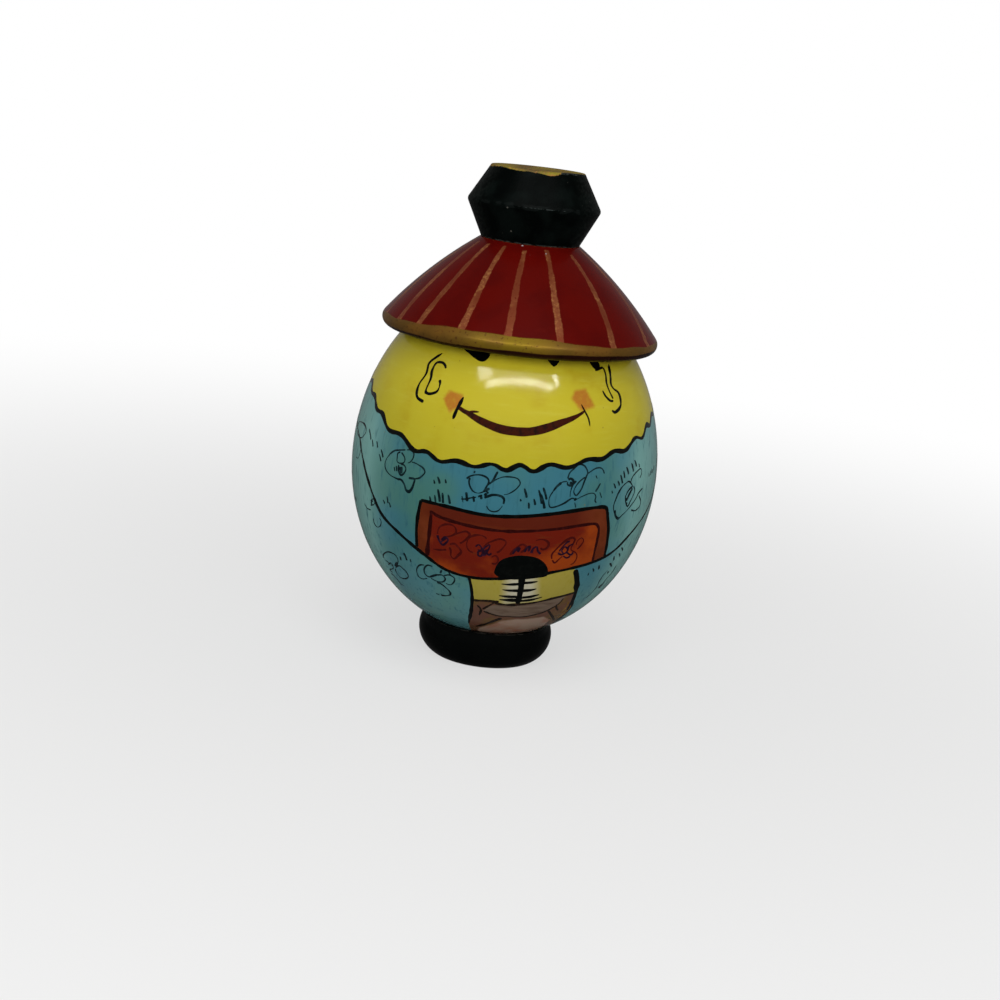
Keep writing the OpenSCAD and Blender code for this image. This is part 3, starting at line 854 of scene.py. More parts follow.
# Grass between the flowers: short strokes, thick at the foot. The ones in front are given one by one, by the
# foot's turn and height and how far the tip stands from it in mm. Round the sides and back they stand in
# rows, each with its turn, its height, how many blades it has and how tall they are.
BLADE_GAP = 0.75
GRASS = [(-29.4, 37.7, -0.3, 0.7), (-27.4, 37.9, -0.6, 1.1), (-25.1, 38.2, -0.3, 0.7),
         (-30.3, 34.3, -0.3, 1), (-26.7, 34.7, -0.6, 2), (-25.5, 34.6, -0.3, 1.7),
         (-22.9, 34.7, -0.5, 1.5), (-28.4, 34.5, -0.3, 1.2), (1.8, 36.9, -0.2, 0.5),
         (3.7, 37.6, -0.6, 1.5), (4.9, 35.7, -0.2, 1.1), (9.3, 36.7, -0.8, 2.2),
         (10.8, 37.5, -0.8, 1.9), (10.5, 35.9, -1, 2.3), (7, 36.4, -0.4, 1.1), (37.9, 38.4, -0.3, 0.6),
         (39.2, 39.3, -0.6, 0.9), (41.2, 39.7, -0.6, 0.9), (42.8, 40, -0.7, 1.5),
         (43.8, 40.9, -0.4, 1.3), (46.1, 41.5, -0.7, 1.3), (49.2, 41.8, -0.7, 1.5),
         (51.2, 42.6, -0.7, 1.2), (53.5, 42.3, -0.4, 0.8), (-64.2, 41.7, -1.6, 1.5),
         (-61.8, 40.7, -0.8, 1.1), (-58.6, 40.9, -0.7, 1), (-54.3, 39.6, -1, 1.2),
         (-55.2, 38.8, -0.9, 1.1), (-51.5, 31.5, -0.6, 0.6), (-49.8, 31.8, -0.3, 1.2),
         (-48.4, 31.2, -0.4, 0.9), (37, 22.5, -0.1, 0.7), (39.5, 23.2, -0.7, 0.8),
         (42.1, 23.5, -0.6, 1), (51, 23.4, -1.4, 1), (50, 24.8, -0.7, 1), (53.7, 25.3, -1, 0.9),
         (53.9, 26.5, -1, 0.8)]
for turn, height, x, y in GRASS:
    line = laid([(0, -0.1), (x * 0.4, y * 0.5), (x * 1.15, y * 1.2)], turn, height)
    flower_marks.append(brush_line(line, 0.34 + 0.07 * y, (0.2, 0.9), 0.1, skin=FLOWER_SKIN))
GRASS_ROWS = [(67, 40, 5, 1.1), (94, 32.5, 6, 1.1), (121, 40, 5, 1.2), (150, 35.5, 6, 1.1),
              (-178, 36, 6, 1.2), (-150, 26, 5, 1.0), (-120, 41, 6, 1.2), (-88, 32, 5, 1.0),
              (118, 24, 5, 0.9), (158, 25, 5, 0.9), (-112, 25, 5, 0.9), (74, 25, 5, 0.9), (-80, 28, 5, 1.0)]
for turn, height, blades, tall in GRASS_ROWS:
    for blade in range(blades):
        x = (blade - blades / 2) * BLADE_GAP + hand.normal(0, 0.08)
        y = 0.12 * blade + hand.normal(0, 0.15)
        tip = hand.normal(-0.35, 0.12) * tall
        line = [(x, y), (x + tip * 0.5, y + tall * 0.5), (x + tip, y + tall * hand.uniform(0.8, 1.3))]
        knots = laid(line, turn, height)
        flower_marks.append(brush_line(knots, 0.38, (0.2, 0.8), 0.1, skin=FLOWER_SKIN))
drawn_piece("robe_flower_lines", flower_marks, ink("teal_flower_ink", INK_TEAL, INK_TEAL_THIN))

# Chest panel: an inner line a little inside the border, and a row of four small scribbled flowers, each
# given by its turn and height, and by the lines of its petals and of its centre in mm round its middle.
PETAL_SKIN = INK_SKIN - 0.008
PETAL_WIDTH = 0.33
CENTRE_SKIN = INK_SKIN - 0.004
CENTRE_WIDTH = 0.38
PANEL_FLOWERS = [
    (-23.3, 27.1,
     [[(-1.9, 1.6), (-1.6, 3), (-0.7, 3.8), (0.5, 4.1), (1.4, 3.7), (1.6, 2.7), (0.7, 1.9), (-0.4, 1.5)],
      [(0.7, 1.9), (2.2, 2.8), (3.4, 3.3), (4.1, 2.8), (3.6, 1.9), (2.7, 1), (2.2, 0.7)],
      [(0.4, 0.1), (1.3, 0.5), (2, 0), (2.6, -0.9), (2, -1.8), (1.3, -2.6), (0.7, -2.1), (0.7, -1.1),
       (0.4, -0.3)],
      [(-2.9, -1.5), (-1.5, -1.4), (0, -1)]],
     [[(-1.9, 1.6), (-1.5, 0.5), (-0.9, -0.2), (-0.4, 0.1), (0.2, 1), (-0.4, 1.5), (-1.1, 0.6)],
      [(-1.3, 0.1), (-0.6, 0.9), (0, 1.4)]]),
    (-9.2, 27.1,
     [[(-1.7, -0.7), (-2.6, -0.4), (-3.1, 0.5), (-3, 1.7), (-2.3, 2.6), (-1.1, 3), (-0.1, 2.8), (0.3, 2.3)],
      [(-0.2, 0.6), (0.4, 1.5), (1.4, 2.2), (2.4, 2.7), (3.3, 2.6), (3.7, 2.1), (3.2, 1), (2.6, 0.2),
       (2.1, -0.1)],
      [(1.3, -1.2), (2, -0.7), (2.5, -1.1), (2.6, -1.9), (2.1, -2.4), (1.4, -2.3)]],
     [[(-1.6, 0.5), (-1, 1.1), (-0.4, 0.3), (-1, -0.4), (-0.8, -1.2), (-0.1, -0.8), (-0.2, 0.2), (0.3, 0.9),
       (0.9, 1.4), (0.8, 0.5), (0.4, -0.1), (0.9, -0.7), (1.4, -0.2)],
      [(-1.2, 0.2), (-0.3, -0.3), (0.5, 0.3), (0.2, -0.8), (-0.6, -0.7)],
      [(-0.6, 0.7), (0.2, -0.4), (0.8, 0.3)]]),
    (5.3, 28.1,
     [[(-2.2, -1.4), (-1.9, -0.4), (-1.1, 0.5), (-0.5, 1), (0.2, 0.8), (0.2, 0), (-0.6, -0.7)],
      [(1.7, 1.9), (2.7, 2.2), (3.7, 2), (4.3, 1.4), (4.1, 0.6), (3.4, 0.2), (2.8, 0.6)]],
     [[(-1.9, -1.2), (-1.4, -0.1), (-0.8, 0.3), (-1, -0.7)],
      [(0.1, -0.6), (0.5, 0.4), (1, 0.7), (0.8, -0.4)],
      [(1.4, -0.7), (1.6, 0.3), (2.2, 0.7), (2.5, -0.1), (3.2, -0.8)], [(-1.4, -0.3), (-0.5, 0)]]),
    (21.4, 28.5,
     [[(-2.1, -2.2), (-2.4, -1.2), (-1.9, -0.2), (-1.2, 0.8), (-0.4, 1.6), (0.7, 2.2), (1.4, 1.8),
       (1.2, 0.8), (1.1, -0.2), (2.3, -0.9), (2.8, -1.9), (2.5, -3), (1.8, -3.4)],
      [(1.9, 0.6), (2, 1.5), (2.7, 2.1), (3.3, 1.5), (2.9, 0.5), (2.3, -0.3)],
      [(-2.1, -2.2), (-1.4, -2.9), (-0.8, -2.2), (-0.2, -1.4)]],
     [[(-1.2, -0.6), (-0.7, 0.4), (-0.1, 1.2), (0.6, 1.6)],
      [(-1.4, -0.8), (-0.5, -1.2), (0.4, -0.8), (1.3, -1.3), (1.8, -0.7)],
      [(-0.9, -0.2), (-0.1, -1), (0.5, -0.2), (-0.3, 0.4), (-0.7, -0.4)],
      [(0.3, -0.2), (0.6, 0.6), (1.4, 1)],
      [(-0.2, -1.4), (0.7, -1.9), (1.4, -1.5)]]),
]
frame_marks = [
    brush_line(FRAME_LEFT, 0.80, (0.3, 0.3), 0.15),
    brush_line(FRAME_TOP[:-1] + [(31.2, 33.1), (33.2, 32.6)] + FRAME_RIGHT[1:], 0.58, (0.3, 0.6), 0.15),
]
petal_marks = []
purple_marks = []
for turn, height, petals, centre in PANEL_FLOWERS:
    for line in petals:
        knots = laid(line, turn, height)
        petal_marks.append(brush_line(knots, PETAL_WIDTH, (0.4, 0.4), 0.3, step=0.26, skin=PETAL_SKIN))
    for line in centre:
        knots = laid(line, turn, height)
        purple_marks.append(brush_line(knots, CENTRE_WIDTH, (0.2, 0.2), 0.3, step=0.24, skin=CENTRE_SKIN))
drawn_piece("chest_panel_lines", frame_marks, ink("dark_red_ink", INK_DARK_RED, INK_DARK_RED_THIN))
drawn_piece("chest_panel_petals", petal_marks, ink("petal_red_ink", INK_PETAL_RED, INK_PETAL_RED_THIN))
drawn_piece("chest_panel_flower_centres", purple_marks, ink("purple_ink", INK_PURPLE, INK_PURPLE_THIN))

# Shoes: thin brown outlines over the soft brown washes at the foot of the egg.
shoe_marks = [
    brush_line(LINING_LOW, 0.70, (0.5, 2.0), 0.2),
    brush_line(UPPER_SHOE[:7] + [(30.4, 17.8)], 0.42, (0.8, 0.8), 0.25),
    brush_line([(-8.1, 14.4), (-4.9, 15.6), (-1.9, 16.7)], 0.55, (0.8, 0.3), 0.3),
    brush_line([(-2.6, 16.6), (-1.6, 16.8), (-0.6, 16.6)], 0.60, (0.3, 0.3), 0.2),
    brush_line([(-13, 9.1), (-4.7, 10.7), (0.7, 12.1), (3.1, 12.7)], 0.60, (2.0, 0.3), 0.2),
    brush_line([(26.4, 14.8), (32.4, 13.2), (40.6, 11.3)], 0.50, (0.4, 1.2), 0.3),
    brush_line([(28.5, 16.4), (30.8, 15.2), (33.4, 14.6)], 0.35, (0.6, 0.8), 0.3),
    brush_line([(-10.7, 15.4), (-8.7, 14.3), (-9.6, 12.7)], 0.34, (0.6, 0.8), 0.3),
]
drawn_piece("shoe_lines", shoe_marks, ink("brown_shoe_ink", INK_SHOE_BROWN, INK_SHOE_BROWN_THIN))
ochre_marks = [brush_line([(40.7, 11.9), (41, 13.5), (39, 15.7)], 0.80, (0.8, 1.2), 0.2),
               brush_line([(35.2, 16.8), (37.2, 15.2), (38.2, 13.4)], 0.40, (0.6, 0.8), 0.2)]
drawn_piece("shoe_ochre_strokes", ochre_marks, ink("ochre_shoe_ink", INK_OCHRE, INK_OCHRE_THIN))


# Hat peg
# A short beech dowel with bevelled ends. It stands loose in the egg's socket, runs up into the knob's
# spigot, and keeps the hat in the middle of the crown.
PEG_R = 2.49
PEG_LOW = 58.34
PEG_TOP = 84.33
PEG_BEVEL = 0.6
WOOD_FLECK = (0.28, 0.15, 0.06, 1)
WORN_WOOD = (0.30, 0.18, 0.09, 1)

peg_outline = [(0, PEG_LOW), (PEG_R - PEG_BEVEL, PEG_LOW), (PEG_R, PEG_LOW + PEG_BEVEL),
               (PEG_R, PEG_TOP - PEG_BEVEL), (PEG_R - PEG_BEVEL, PEG_TOP), (0, PEG_TOP)]
peg, *_ = turned("hat_dowel", spaced(eased(peg_outline, cut=0.1), step=0.4), around=96)

dowel_wood, tree, shader = finish_of("beech_dowel")
place = place_of(tree)
grain = use(tree, brush_marks, place=place, stretch=(3.2, 3.2, 0.10), size=1.0)
flecks = use(tree, brush_marks, place=place, stretch=(9.0, 9.0, 1.2), size=1.0)
colour = clouded(tree, grain, 0.40, 0.66, BARE_WOOD, BARE_GRAIN)
colour = over(tree, times(tree, ease_between(tree, flecks, 0.62, 0.70), 0.6), colour, WOOD_FLECK)
worn = use(tree, rubbed_edge, place=place, edge=number_at(tree, "edge_mm"), width=0.35, grain=0.8)
colour = over(tree, times(tree, worn, 0.6), colour, WORN_WOOD)
rough = plus(tree, times(tree, grain, 0.25), 0.42)
feed(tree, shader, Base_Color=colour, Roughness=rough,
     Normal=relief(tree, plus(tree, grain, flecks), 0.04))
peg.data.materials.append(dowel_wood)
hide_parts("hat_peg")
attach(peg, "peg")


# Hat
# A wide cone turned from one piece, hollowed to fit over the crown of the egg and bored for the spigot. It
# is lacquered dark red. Its stripes and the edge of its brim are painted freehand with bronze powder.
BRIM_R = 25.4
BRIM_ROUND = 1.55
BRIM_LOW = 61.064
CROWN_R = 9.1
CROWN_TOP = 78.764
HAT_SWELL = 0.8
SIDE_LEAVES_AT = 38
RECESS_FROM = 10.13
RECESS_TO = 47.1
HAT_BORE_R = 5.06
BAND_FROM_R = 23.6
BAND_TOP = 64.25
BAND_LOW = 61.85
STRIPES = [(-64.4, -69.5, 0), (-50.3, -50.8, 0), (-29.6, -31, 0), (-10.3, -9.7, 0), (11.2, 12.4, 0),
           (36, 39.4, 2.2), (61.5, 67, 5), (83.5, 86, 3), (106, 107, 0), (128, 127, 1), (151, 153, -1),
           (174, 174.5, 1), (197, 195, 0), (219, 220, -1), (240, 241, 1), (260.5, 259, -2), (278.5, 276, -2)]
STRIPE_HALF = 0.67
STRIPE_THINS = 0.32
STRIPE_STOPS = 0.7
HAT_RED = (0.084, 0.0020, 0.0010, 1)
HAT_RED_DEEP = (0.070, 0.0016, 0.0010, 1)
HAT_RED_WARM = (0.086, 0.0030, 0.0014, 1)
BRIM_PAINTED_SHADE = (0.013, 0.0030, 0.0016, 1)
BRONZE = (0.215, 0.062, 0.024, 1)
BRONZE_BRIGHT = (0.340, 0.140, 0.045, 1)
BRONZE_DULL = (0.165, 0.036, 0.014, 1)
PALE_LINT = (0.42, 0.40, 0.42, 1)
EDGE_GOLD = (0.112, 0.056, 0.010, 1)
EDGE_GOLD_PAINTED_HIGHLIGHT = (0.165, 0.108, 0.007, 1)
EDGE_BRONZE = (0.155, 0.071, 0.012, 1)
EDGE_GOLD_DULL = (0.070, 0.028, 0.006, 1)
HOLLOW_WOOD = (0.10, 0.05, 0.025, 1)

turn = np.radians(np.linspace(-90, SIDE_LEAVES_AT, 16))
edge_r = BRIM_ROUND - LACQUER_SKIN
brim_edge = np.column_stack([BRIM_R - BRIM_ROUND + edge_r * np.cos(turn),
                             BRIM_LOW + BRIM_ROUND + edge_r * np.sin(turn)])
leaves = brim_edge[-1]
reaches = np.array([CROWN_R, CROWN_TOP - LACQUER_SKIN])
t = np.linspace(0, 1, 46)[1:, None]
outwards = np.array([reaches[1] - leaves[1], leaves[0] - reaches[0]]) / np.linalg.norm(reaches - leaves)
hat_side = leaves + (reaches - leaves) * t + outwards * HAT_SWELL * 4 * t * (1 - t)
recess_lean = np.radians(np.linspace(RECESS_FROM, RECESS_TO, 44))
recess = np.column_stack([(EGG_R + SEAT_GAP) * np.sin(recess_lean),
                          EGG_WAIST + (EGG_UP + SEAT_GAP) * np.cos(recess_lean)])
recess = recess[recess[:, 1] > BRIM_LOW + 0.1]
mouth_share = (BRIM_LOW + LACQUER_SKIN - EGG_WAIST) / (EGG_UP + SEAT_GAP)
mouth_r = (EGG_R + SEAT_GAP) * np.sqrt(1 - mouth_share**2)
hat_outline = np.vstack([[[mouth_r, BRIM_LOW + LACQUER_SKIN]], brim_edge, hat_side,
                         [[HAT_BORE_R, CROWN_TOP - LACQUER_SKIN]], recess])
hat_outline = spaced(eased(hat_outline, cut=0.15, closed=True), step=0.6, closed=True)
hat, hat_turn, hat_radius, hat_height = turned("red_hat", hat_outline, around=420, closed=True)

# Where each stripe runs: its turn at the band and at the crown, and how far it bows out between them. It
# grows narrower as it rises, and its edges wander as the hand did.
above_egg = EGG_WAIST + (EGG_UP + 2) * np.sqrt(1 - np.minimum(hat_radius / (EGG_R + 2), 1) ** 2)
outer = (hat_radius > BAND_FROM_R) | (hat_height > above_egg)
rise = ramp(hat_height, BAND_TOP, CROWN_TOP)
stripe = np.full(len(hat_turn), -FAR)
for number, (low_turn, top_turn, bow) in enumerate(STRIPES):
    middle = low_turn + (top_turn - low_turn) * rise + 4 * bow * rise * (1 - rise)
    middle += 0.35 * np.sin(hat_height * 0.45 + number)
    away = np.abs((hat_turn - middle + 180) % 360 - 180)
    half = STRIPE_HALF - STRIPE_THINS * rise**1.5 + 0.05 * np.sin(hat_height * 1.7 + 2 * number)
    ends_at = CROWN_TOP - STRIPE_STOPS - 0.45 * np.sin(3 * number)
    stripe = np.maximum(stripe, np.minimum(half - np.radians(away) * hat_radius, ends_at - hat_height))
keep(hat, "stripe_mm", np.where(outer, stripe, -FAR))

# The gold band round the brim's edge is broadest in front, and painted brighter there as a painted
# highlight.
# Below it the brim's edge is painted near black as painted shade.
band_top = BAND_TOP + 0.35 - 1.05 * ramp(np.abs(hat_turn + 12), 0, 55) ** 1.5
band_low = BAND_LOW + 0.45 * ramp(hat_turn, -30, 10)
waver = 0.10 * wave(hat_turn, 9, 30) + 0.07 * wave(hat_turn, 17)
band = np.minimum(band_top + waver - hat_height, hat_height - band_low + 0.6 * waver)
keep(hat, "band_mm", np.where(hat_radius > BAND_FROM_R, band, -FAR))
keep(hat, "under_mm", np.where(hat_radius > BAND_FROM_R - 0.4, band_low - hat_height, -FAR))
keep(hat, "front", np.exp(-(((hat_turn + 8) / 17) ** 2)))
keep(hat, "by_knob", np.where(outer, ramp(hat_radius, 11.2, 10.2), 0))
keep(hat, "hollow", np.where(outer | (hat_height < BRIM_LOW + 0.2), 0.0, 1.0))

hat_lacquer, tree, shader = finish_of("red_hat_lacquer")
place = place_of(tree)
cloud = noise_at(tree, place, 7.0, 3.0)
fine = noise_at(tree, place, 0.6, 3.0, 0.6)
strokes = use(tree, brush_marks, place=place, stretch=(0.5, 0.5, 1.2), size=1.6)
hand_edge = times(tree, sum_of(tree, "SUBTRACT", fine, 0.5), 0.26)
on_stripe = ease_between(tree, plus(tree, number_at(tree, "stripe_mm"), hand_edge), -0.08, 0.10)
on_band = ease_between(tree, plus(tree, number_at(tree, "band_mm"), hand_edge), -0.08, 0.08)
red = clouded(tree, cloud, 0.40, 0.64, HAT_RED, HAT_RED_DEEP)
red = clouded(tree, strokes, 0.56, 0.82, red, HAT_RED_WARM)
thin = times(tree, ease_between(tree, fine, 0.16, 0.44), on_stripe)
bronze = clouded(tree, fine, 0.50, 0.70, BRONZE, BRONZE_BRIGHT)
stripe_paint = clouded(tree, cloud, 0.36, 0.56, BRONZE_DULL, bronze)
edge_gold = clouded(tree, cloud, 0.42, 0.62, EDGE_GOLD, EDGE_BRONZE)
# Painted highlight: the band is brighter in front.
bright = times(tree, number_at(tree, "front"), ease_between(tree, cloud, 0.26, 0.50))
band_paint = over(tree, bright, edge_gold, EDGE_GOLD_PAINTED_HIGHLIGHT)
band_paint = clouded(tree, fine, 0.56, 0.72, band_paint, EDGE_GOLD_DULL)
gilt = sum_of(tree, "MAXIMUM", times(tree, thin, 0.9), on_band)
colour = over(tree, times(tree, thin, 0.92), red, stripe_paint)
# Painted shade: the brim below the band is near black.
colour = clouded(tree, number_at(tree, "under_mm"), -0.25, 0.0, colour, BRIM_PAINTED_SHADE)
colour = over(tree, on_band, colour, band_paint)
worn = use(tree, rubbed_edge, place=place, edge=number_at(tree, "edge_mm"), width=0.10, grain=0.7)
colour = over(tree, times(tree, worn, 0.5), colour, BRONZE_DULL)
dusty = use(tree, specks, place=place, spacing=2.4, share=0.3, size=0.09)
colour = over(tree, times(tree, dusty, 0.5), colour, BLACK_DUST)
lint = use(tree, specks, place=place, spacing=1.3, share=0.62, size=0.22)
lint = times(tree, lint, number_at(tree, "by_knob"))
colour = over(tree, lint, colour, PALE_LINT)
hollow = number_at(tree, "hollow")
colour = over(tree, hollow, colour, clouded(tree, strokes, 0.45, 0.60, HAT_RED_DEEP, HOLLOW_WOOD))
rough = plus(tree, times(tree, cloud, 0.12), 0.14)
rough = plus(tree, rough, times(tree, gilt, 0.16))
rough = plus(tree, rough, times(tree, hollow, 0.35))
flow = use(tree, lacquer_flow, place=place, wave_size=2.6, fine=0.15)
height = plus(tree, flow, times(tree, gilt, 1.2))
feed(tree, shader, Base_Color=colour, Roughness=rough, Metallic=times(tree, gilt, 0.35),
     Normal=relief(tree, height, 0.016))
shader.inputs["Specular IOR Level"].default_value = 0.05
hat.data.materials.append(hat_lacquer)
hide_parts("hat")
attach(hat, "hat")


# Knob
# Two cones turned base to base from one piece, with a spigot below that is glued into the hat and bored for
# the peg. It is black, scuffed pale along its ridge and foot, and its top is painted with bronze powder.
KNOB_FOOT_R = 9.0
KNOB_RIDGE_R = 12.1
KNOB_RIDGE_AT = 85.264
KNOB_RIDGE_BAND = 0.5
KNOB_TOP_R = 8.5
KNOB_TOP = 91.764
SPIGOT_R = 4.98
SPIGOT_LOW = 72.54
KNOB_BORE_R = 2.6
KNOB_BORE_TOP = 84.53
TORN_AT = 42
TORN_WIDE = 17
TORN_DEEP = 1.3
KNOB_BLACK = (0.0007, 0.0013, 0.0011, 1)
KNOB_SMOKE = (0.0022, 0.0038, 0.0033, 1)
SCUFF = (0.052, 0.062, 0.060, 1)
KNOB_DUST_AND_SHEEN = (0.0110, 0.0135, 0.0120, 1)
DRY_GLUE = (0.22, 0.20, 0.16, 1)
GILT = (0.230, 0.180, 0.024, 1)
GILT_DARK = (0.115, 0.080, 0.028, 1)

knob_outline = [(0, KNOB_BORE_TOP), (KNOB_BORE_R, KNOB_BORE_TOP), (KNOB_BORE_R, SPIGOT_LOW),
                (SPIGOT_R, SPIGOT_LOW), (SPIGOT_R, CROWN_TOP), (KNOB_FOOT_R, CROWN_TOP),
                (KNOB_RIDGE_R - LACQUER_SKIN, KNOB_RIDGE_AT - KNOB_RIDGE_BAND / 2),
                (KNOB_RIDGE_R - LACQUER_SKIN, KNOB_RIDGE_AT + KNOB_RIDGE_BAND / 2),
                (KNOB_TOP_R, KNOB_TOP - LACQUER_SKIN), (0, KNOB_TOP - LACQUER_SKIN)]
knob_outline = spaced(eased(knob_outline, cut=0.22), step=0.45)
knob, knob_turn, knob_radius, knob_height = turned("black_knob", knob_outline, around=300)

# The gilt runs a little way down over the top's edge, and the black runs back over it in one torn place. The
# scuffs follow the ridge in front and behind, dust and a painted sheen lie at the sides seen from the
# camera, and glue shows round the foot.
near_top = knob_height > (KNOB_RIDGE_AT + KNOB_TOP) / 2
torn = TORN_DEEP * np.exp(-(((knob_turn - TORN_AT) / TORN_WIDE) ** 2))
black_over = torn * ramp(knob_radius, KNOB_TOP_R - 2.2, KNOB_TOP_R - 0.4)
gilt_low = 0.16 * wave(knob_turn, 3, 70) + 0.1 * wave(knob_turn, 8)
keep(knob, "gilt_mm", np.where(near_top, knob_height - KNOB_TOP + 0.35 + gilt_low - black_over, -FAR))
beside = 0.20 * (1 - np.cos(np.radians(2 * (knob_turn - 6))))
keep(knob, "ridge_mm", np.abs(knob_height - KNOB_RIDGE_AT - 0.2) + beside)
keep(knob, "off_ridge", ramp(np.abs(knob_height - KNOB_RIDGE_AT), 0.6, 1.6))
keep(knob, "dust_and_sheen_side", ramp(np.abs(knob_turn - SEEN_FROM), 44, 70))
keep(knob, "foot_mm", np.where(knob_radius > SPIGOT_R + 1, knob_height - CROWN_TOP, FAR))
in_bore = (knob_radius < KNOB_BORE_R + 0.1) & ~near_top
keep(knob, "bare_mm", np.where((knob_height < CROWN_TOP - 0.1) | in_bore, 1, -1))

knob_lacquer, tree, shader = finish_of("black_knob_lacquer")
place = place_of(tree)
cloud = noise_at(tree, place, 4.0, 3.0)
fine = noise_at(tree, place, 0.5, 3.0, 0.6)
streaks = use(tree, brush_marks, place=place, stretch=(0.35, 0.35, 2.4), size=1.0)
black = clouded(tree, cloud, 0.40, 0.68, KNOB_BLACK, KNOB_SMOKE)
black = clouded(tree, streaks, 0.60, 0.85, black, KNOB_SMOKE)
scuffed = use(tree, rubbed_edge, place=place, edge=number_at(tree, "ridge_mm"), width=0.09, grain=0.45)
scuffed_wide = use(tree, rubbed_edge, place=place, edge=number_at(tree, "ridge_mm"), width=0.5, grain=1.6)
worn = use(tree, rubbed_edge, place=place, edge=number_at(tree, "edge_mm"), width=0.14, grain=0.6)
glue = use(tree, rubbed_edge, place=place, edge=number_at(tree, "foot_mm"), width=0.16, grain=0.9)
# Dust and painted sheen: the knob is paler in patches at its sides seen from the camera.
dust = times(tree, number_at(tree, "dust_and_sheen_side"), ease_between(tree, fine, 0.40, 0.70))
colour = over(tree, dust, black, KNOB_DUST_AND_SHEEN)
colour = over(tree, times(tree, scuffed_wide, 0.05), colour, SCUFF)
colour = over(tree, times(tree, scuffed, 0.85), colour, SCUFF)
worn = times(tree, worn, number_at(tree, "off_ridge"))
colour = over(tree, times(tree, worn, 0.5), colour, SCUFF)
colour = over(tree, times(tree, glue, 0.3), colour, DRY_GLUE)
dusty = use(tree, specks, place=place, spacing=1.5, share=0.25, size=0.12)
colour = over(tree, times(tree, dusty, 0.6), colour, BLACK_DUST)
ragged = times(tree, sum_of(tree, "SUBTRACT", fine, 0.5), 0.4)
gilded = ease_between(tree, plus(tree, number_at(tree, "gilt_mm"), ragged), -0.06, 0.06)
gilt_paint = clouded(tree, cloud, 0.38, 0.62, GILT, GILT_DARK)
gilt_paint = clouded(tree, fine, 0.52, 0.70, gilt_paint, BRONZE_BRIGHT)
colour = over(tree, gilded, colour, gilt_paint)
bare = ease_between(tree, number_at(tree, "bare_mm"), -0.2, 0.2)
grain = use(tree, brush_marks, place=place, stretch=(3.0, 3.0, 0.15), size=1.0)
colour = over(tree, bare, colour, clouded(tree, grain, 0.42, 0.62, BARE_WOOD, BARE_GRAIN))
rough = plus(tree, times(tree, cloud, 0.20), 0.32)
rough = plus(tree, rough, times(tree, sum_of(tree, "MAXIMUM", gilded, scuffed), 0.14))
rough = plus(tree, rough, times(tree, bare, 0.4))
flow = use(tree, lacquer_flow, place=place, wave_size=2.0, fine=0.3)
height = sum_of(tree, "SUBTRACT", flow, times(tree, scuffed, 0.6))
feed(tree, shader, Base_Color=colour, Roughness=rough, Metallic=times(tree, gilded, 0.12),
     Normal=relief(tree, height, 0.03))
shader.inputs["Specular IOR Level"].default_value = 0.016
knob.data.materials.append(knob_lacquer)
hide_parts("knob")
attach(knob, "hat")


# Camera
# It stands 320 mm from the doll, a little to the left and 107 mm above the floor, and is held slightly
# askew, so that the doll leans to the right in the picture.
CAMERA_REACH = 320
CAMERA_H = 107.24
CAMERA_TURN = np.radians(SEEN_FROM)
CAMERA_DOWN = np.radians(13.58)
CAMERA_ROLL = np.radians(6.64)
CAMERA_LENS = 62.93
CAMERA_X = CAMERA_REACH * np.sin(CAMERA_TURN)
CAMERA_Y = -CAMERA_REACH * np.cos(CAMERA_TURN)
CAMERA_AT = Vector((CAMERA_X, CAMERA_Y, CAMERA_H)) * MM
camera = bpy.data.objects.new("camera", bpy.data.cameras.new("camera"))
bpy.context.scene.collection.objects.link(camera)
bpy.context.scene.camera = camera
camera.data.lens = CAMERA_LENS
camera.data.sensor_width = 36
camera.data.clip_start = 0.01
tilt = Matrix.Rotation(CAMERA_TURN, 4, "Z") @ Matrix.Rotation(np.pi / 2 - CAMERA_DOWN, 4, "X")
camera.matrix_world = Matrix.Translation(CAMERA_AT) @ tilt @ Matrix.Rotation(CAMERA_ROLL, 4, "Z")


# Floor, backdrop and lamps
# A pale sheet runs under the doll and rises far behind it. The light is a soft box in front and above,
# brightest along its lower edge and sides, with a wide low lamp in front, a broad weak one overhead and a
# glow all round. Sizes in this section are in metres.
SHEET_DEPTH = 1.6
SHEET_RISE = 1.6
SHEET_WIDTH = 4.0
SHEET_BEND = 0.35
SHEET_PAPER = (0.55, 0.55, 0.545, 1)
ROOM_WHITE = (1.0, 1.0, 0.99, 1)
SHADE_R = 0.0084
WHITE_FROM_R = 0.0094
FOREHEAD = Vector((0, -0.022, 0.057))
BOX_REACH = 0.50
LAMP_REACH = 0.80

bend = np.linspace(0, np.pi / 2, 16)[1:]
forward = np.concatenate([np.linspace(-SHEET_DEPTH, SHEET_DEPTH - SHEET_BEND, 30),
                          SHEET_DEPTH - SHEET_BEND + SHEET_BEND * np.sin(bend), [SHEET_DEPTH]])
upward = np.concatenate([np.zeros(30), SHEET_BEND * (1 - np.cos(bend)), [SHEET_RISE]])
across = np.array([-SHEET_WIDTH / 2, SHEET_WIDTH / 2])
corners = np.array([[x, y, z - 0.00001] for y, z in zip(forward, upward) for x in across])
first = 2 * np.arange(len(forward) - 1)
mesh = bpy.data.meshes.new("pale_sheet")
mesh.from_pydata(corners, [], np.column_stack([first, first + 1, first + 3, first + 2]).tolist())
mesh.shade_smooth()
pale_sheet = bpy.data.objects.new("pale_sheet", mesh)
bpy.context.scene.collection.objects.link(pale_sheet)


def between(tree, value, start, end, low=0.0, high=1.0, kind="LINEAR"):
    """low up to the value start, high from the value end on, and a steady change from one to the other."""
    bounds = {"Value": value, "From Min": start, "From Max": end, "To Min": low, "To Max": high}
    return put(tree, "MapRange", bounds, interpolation_type=kind).outputs[0]


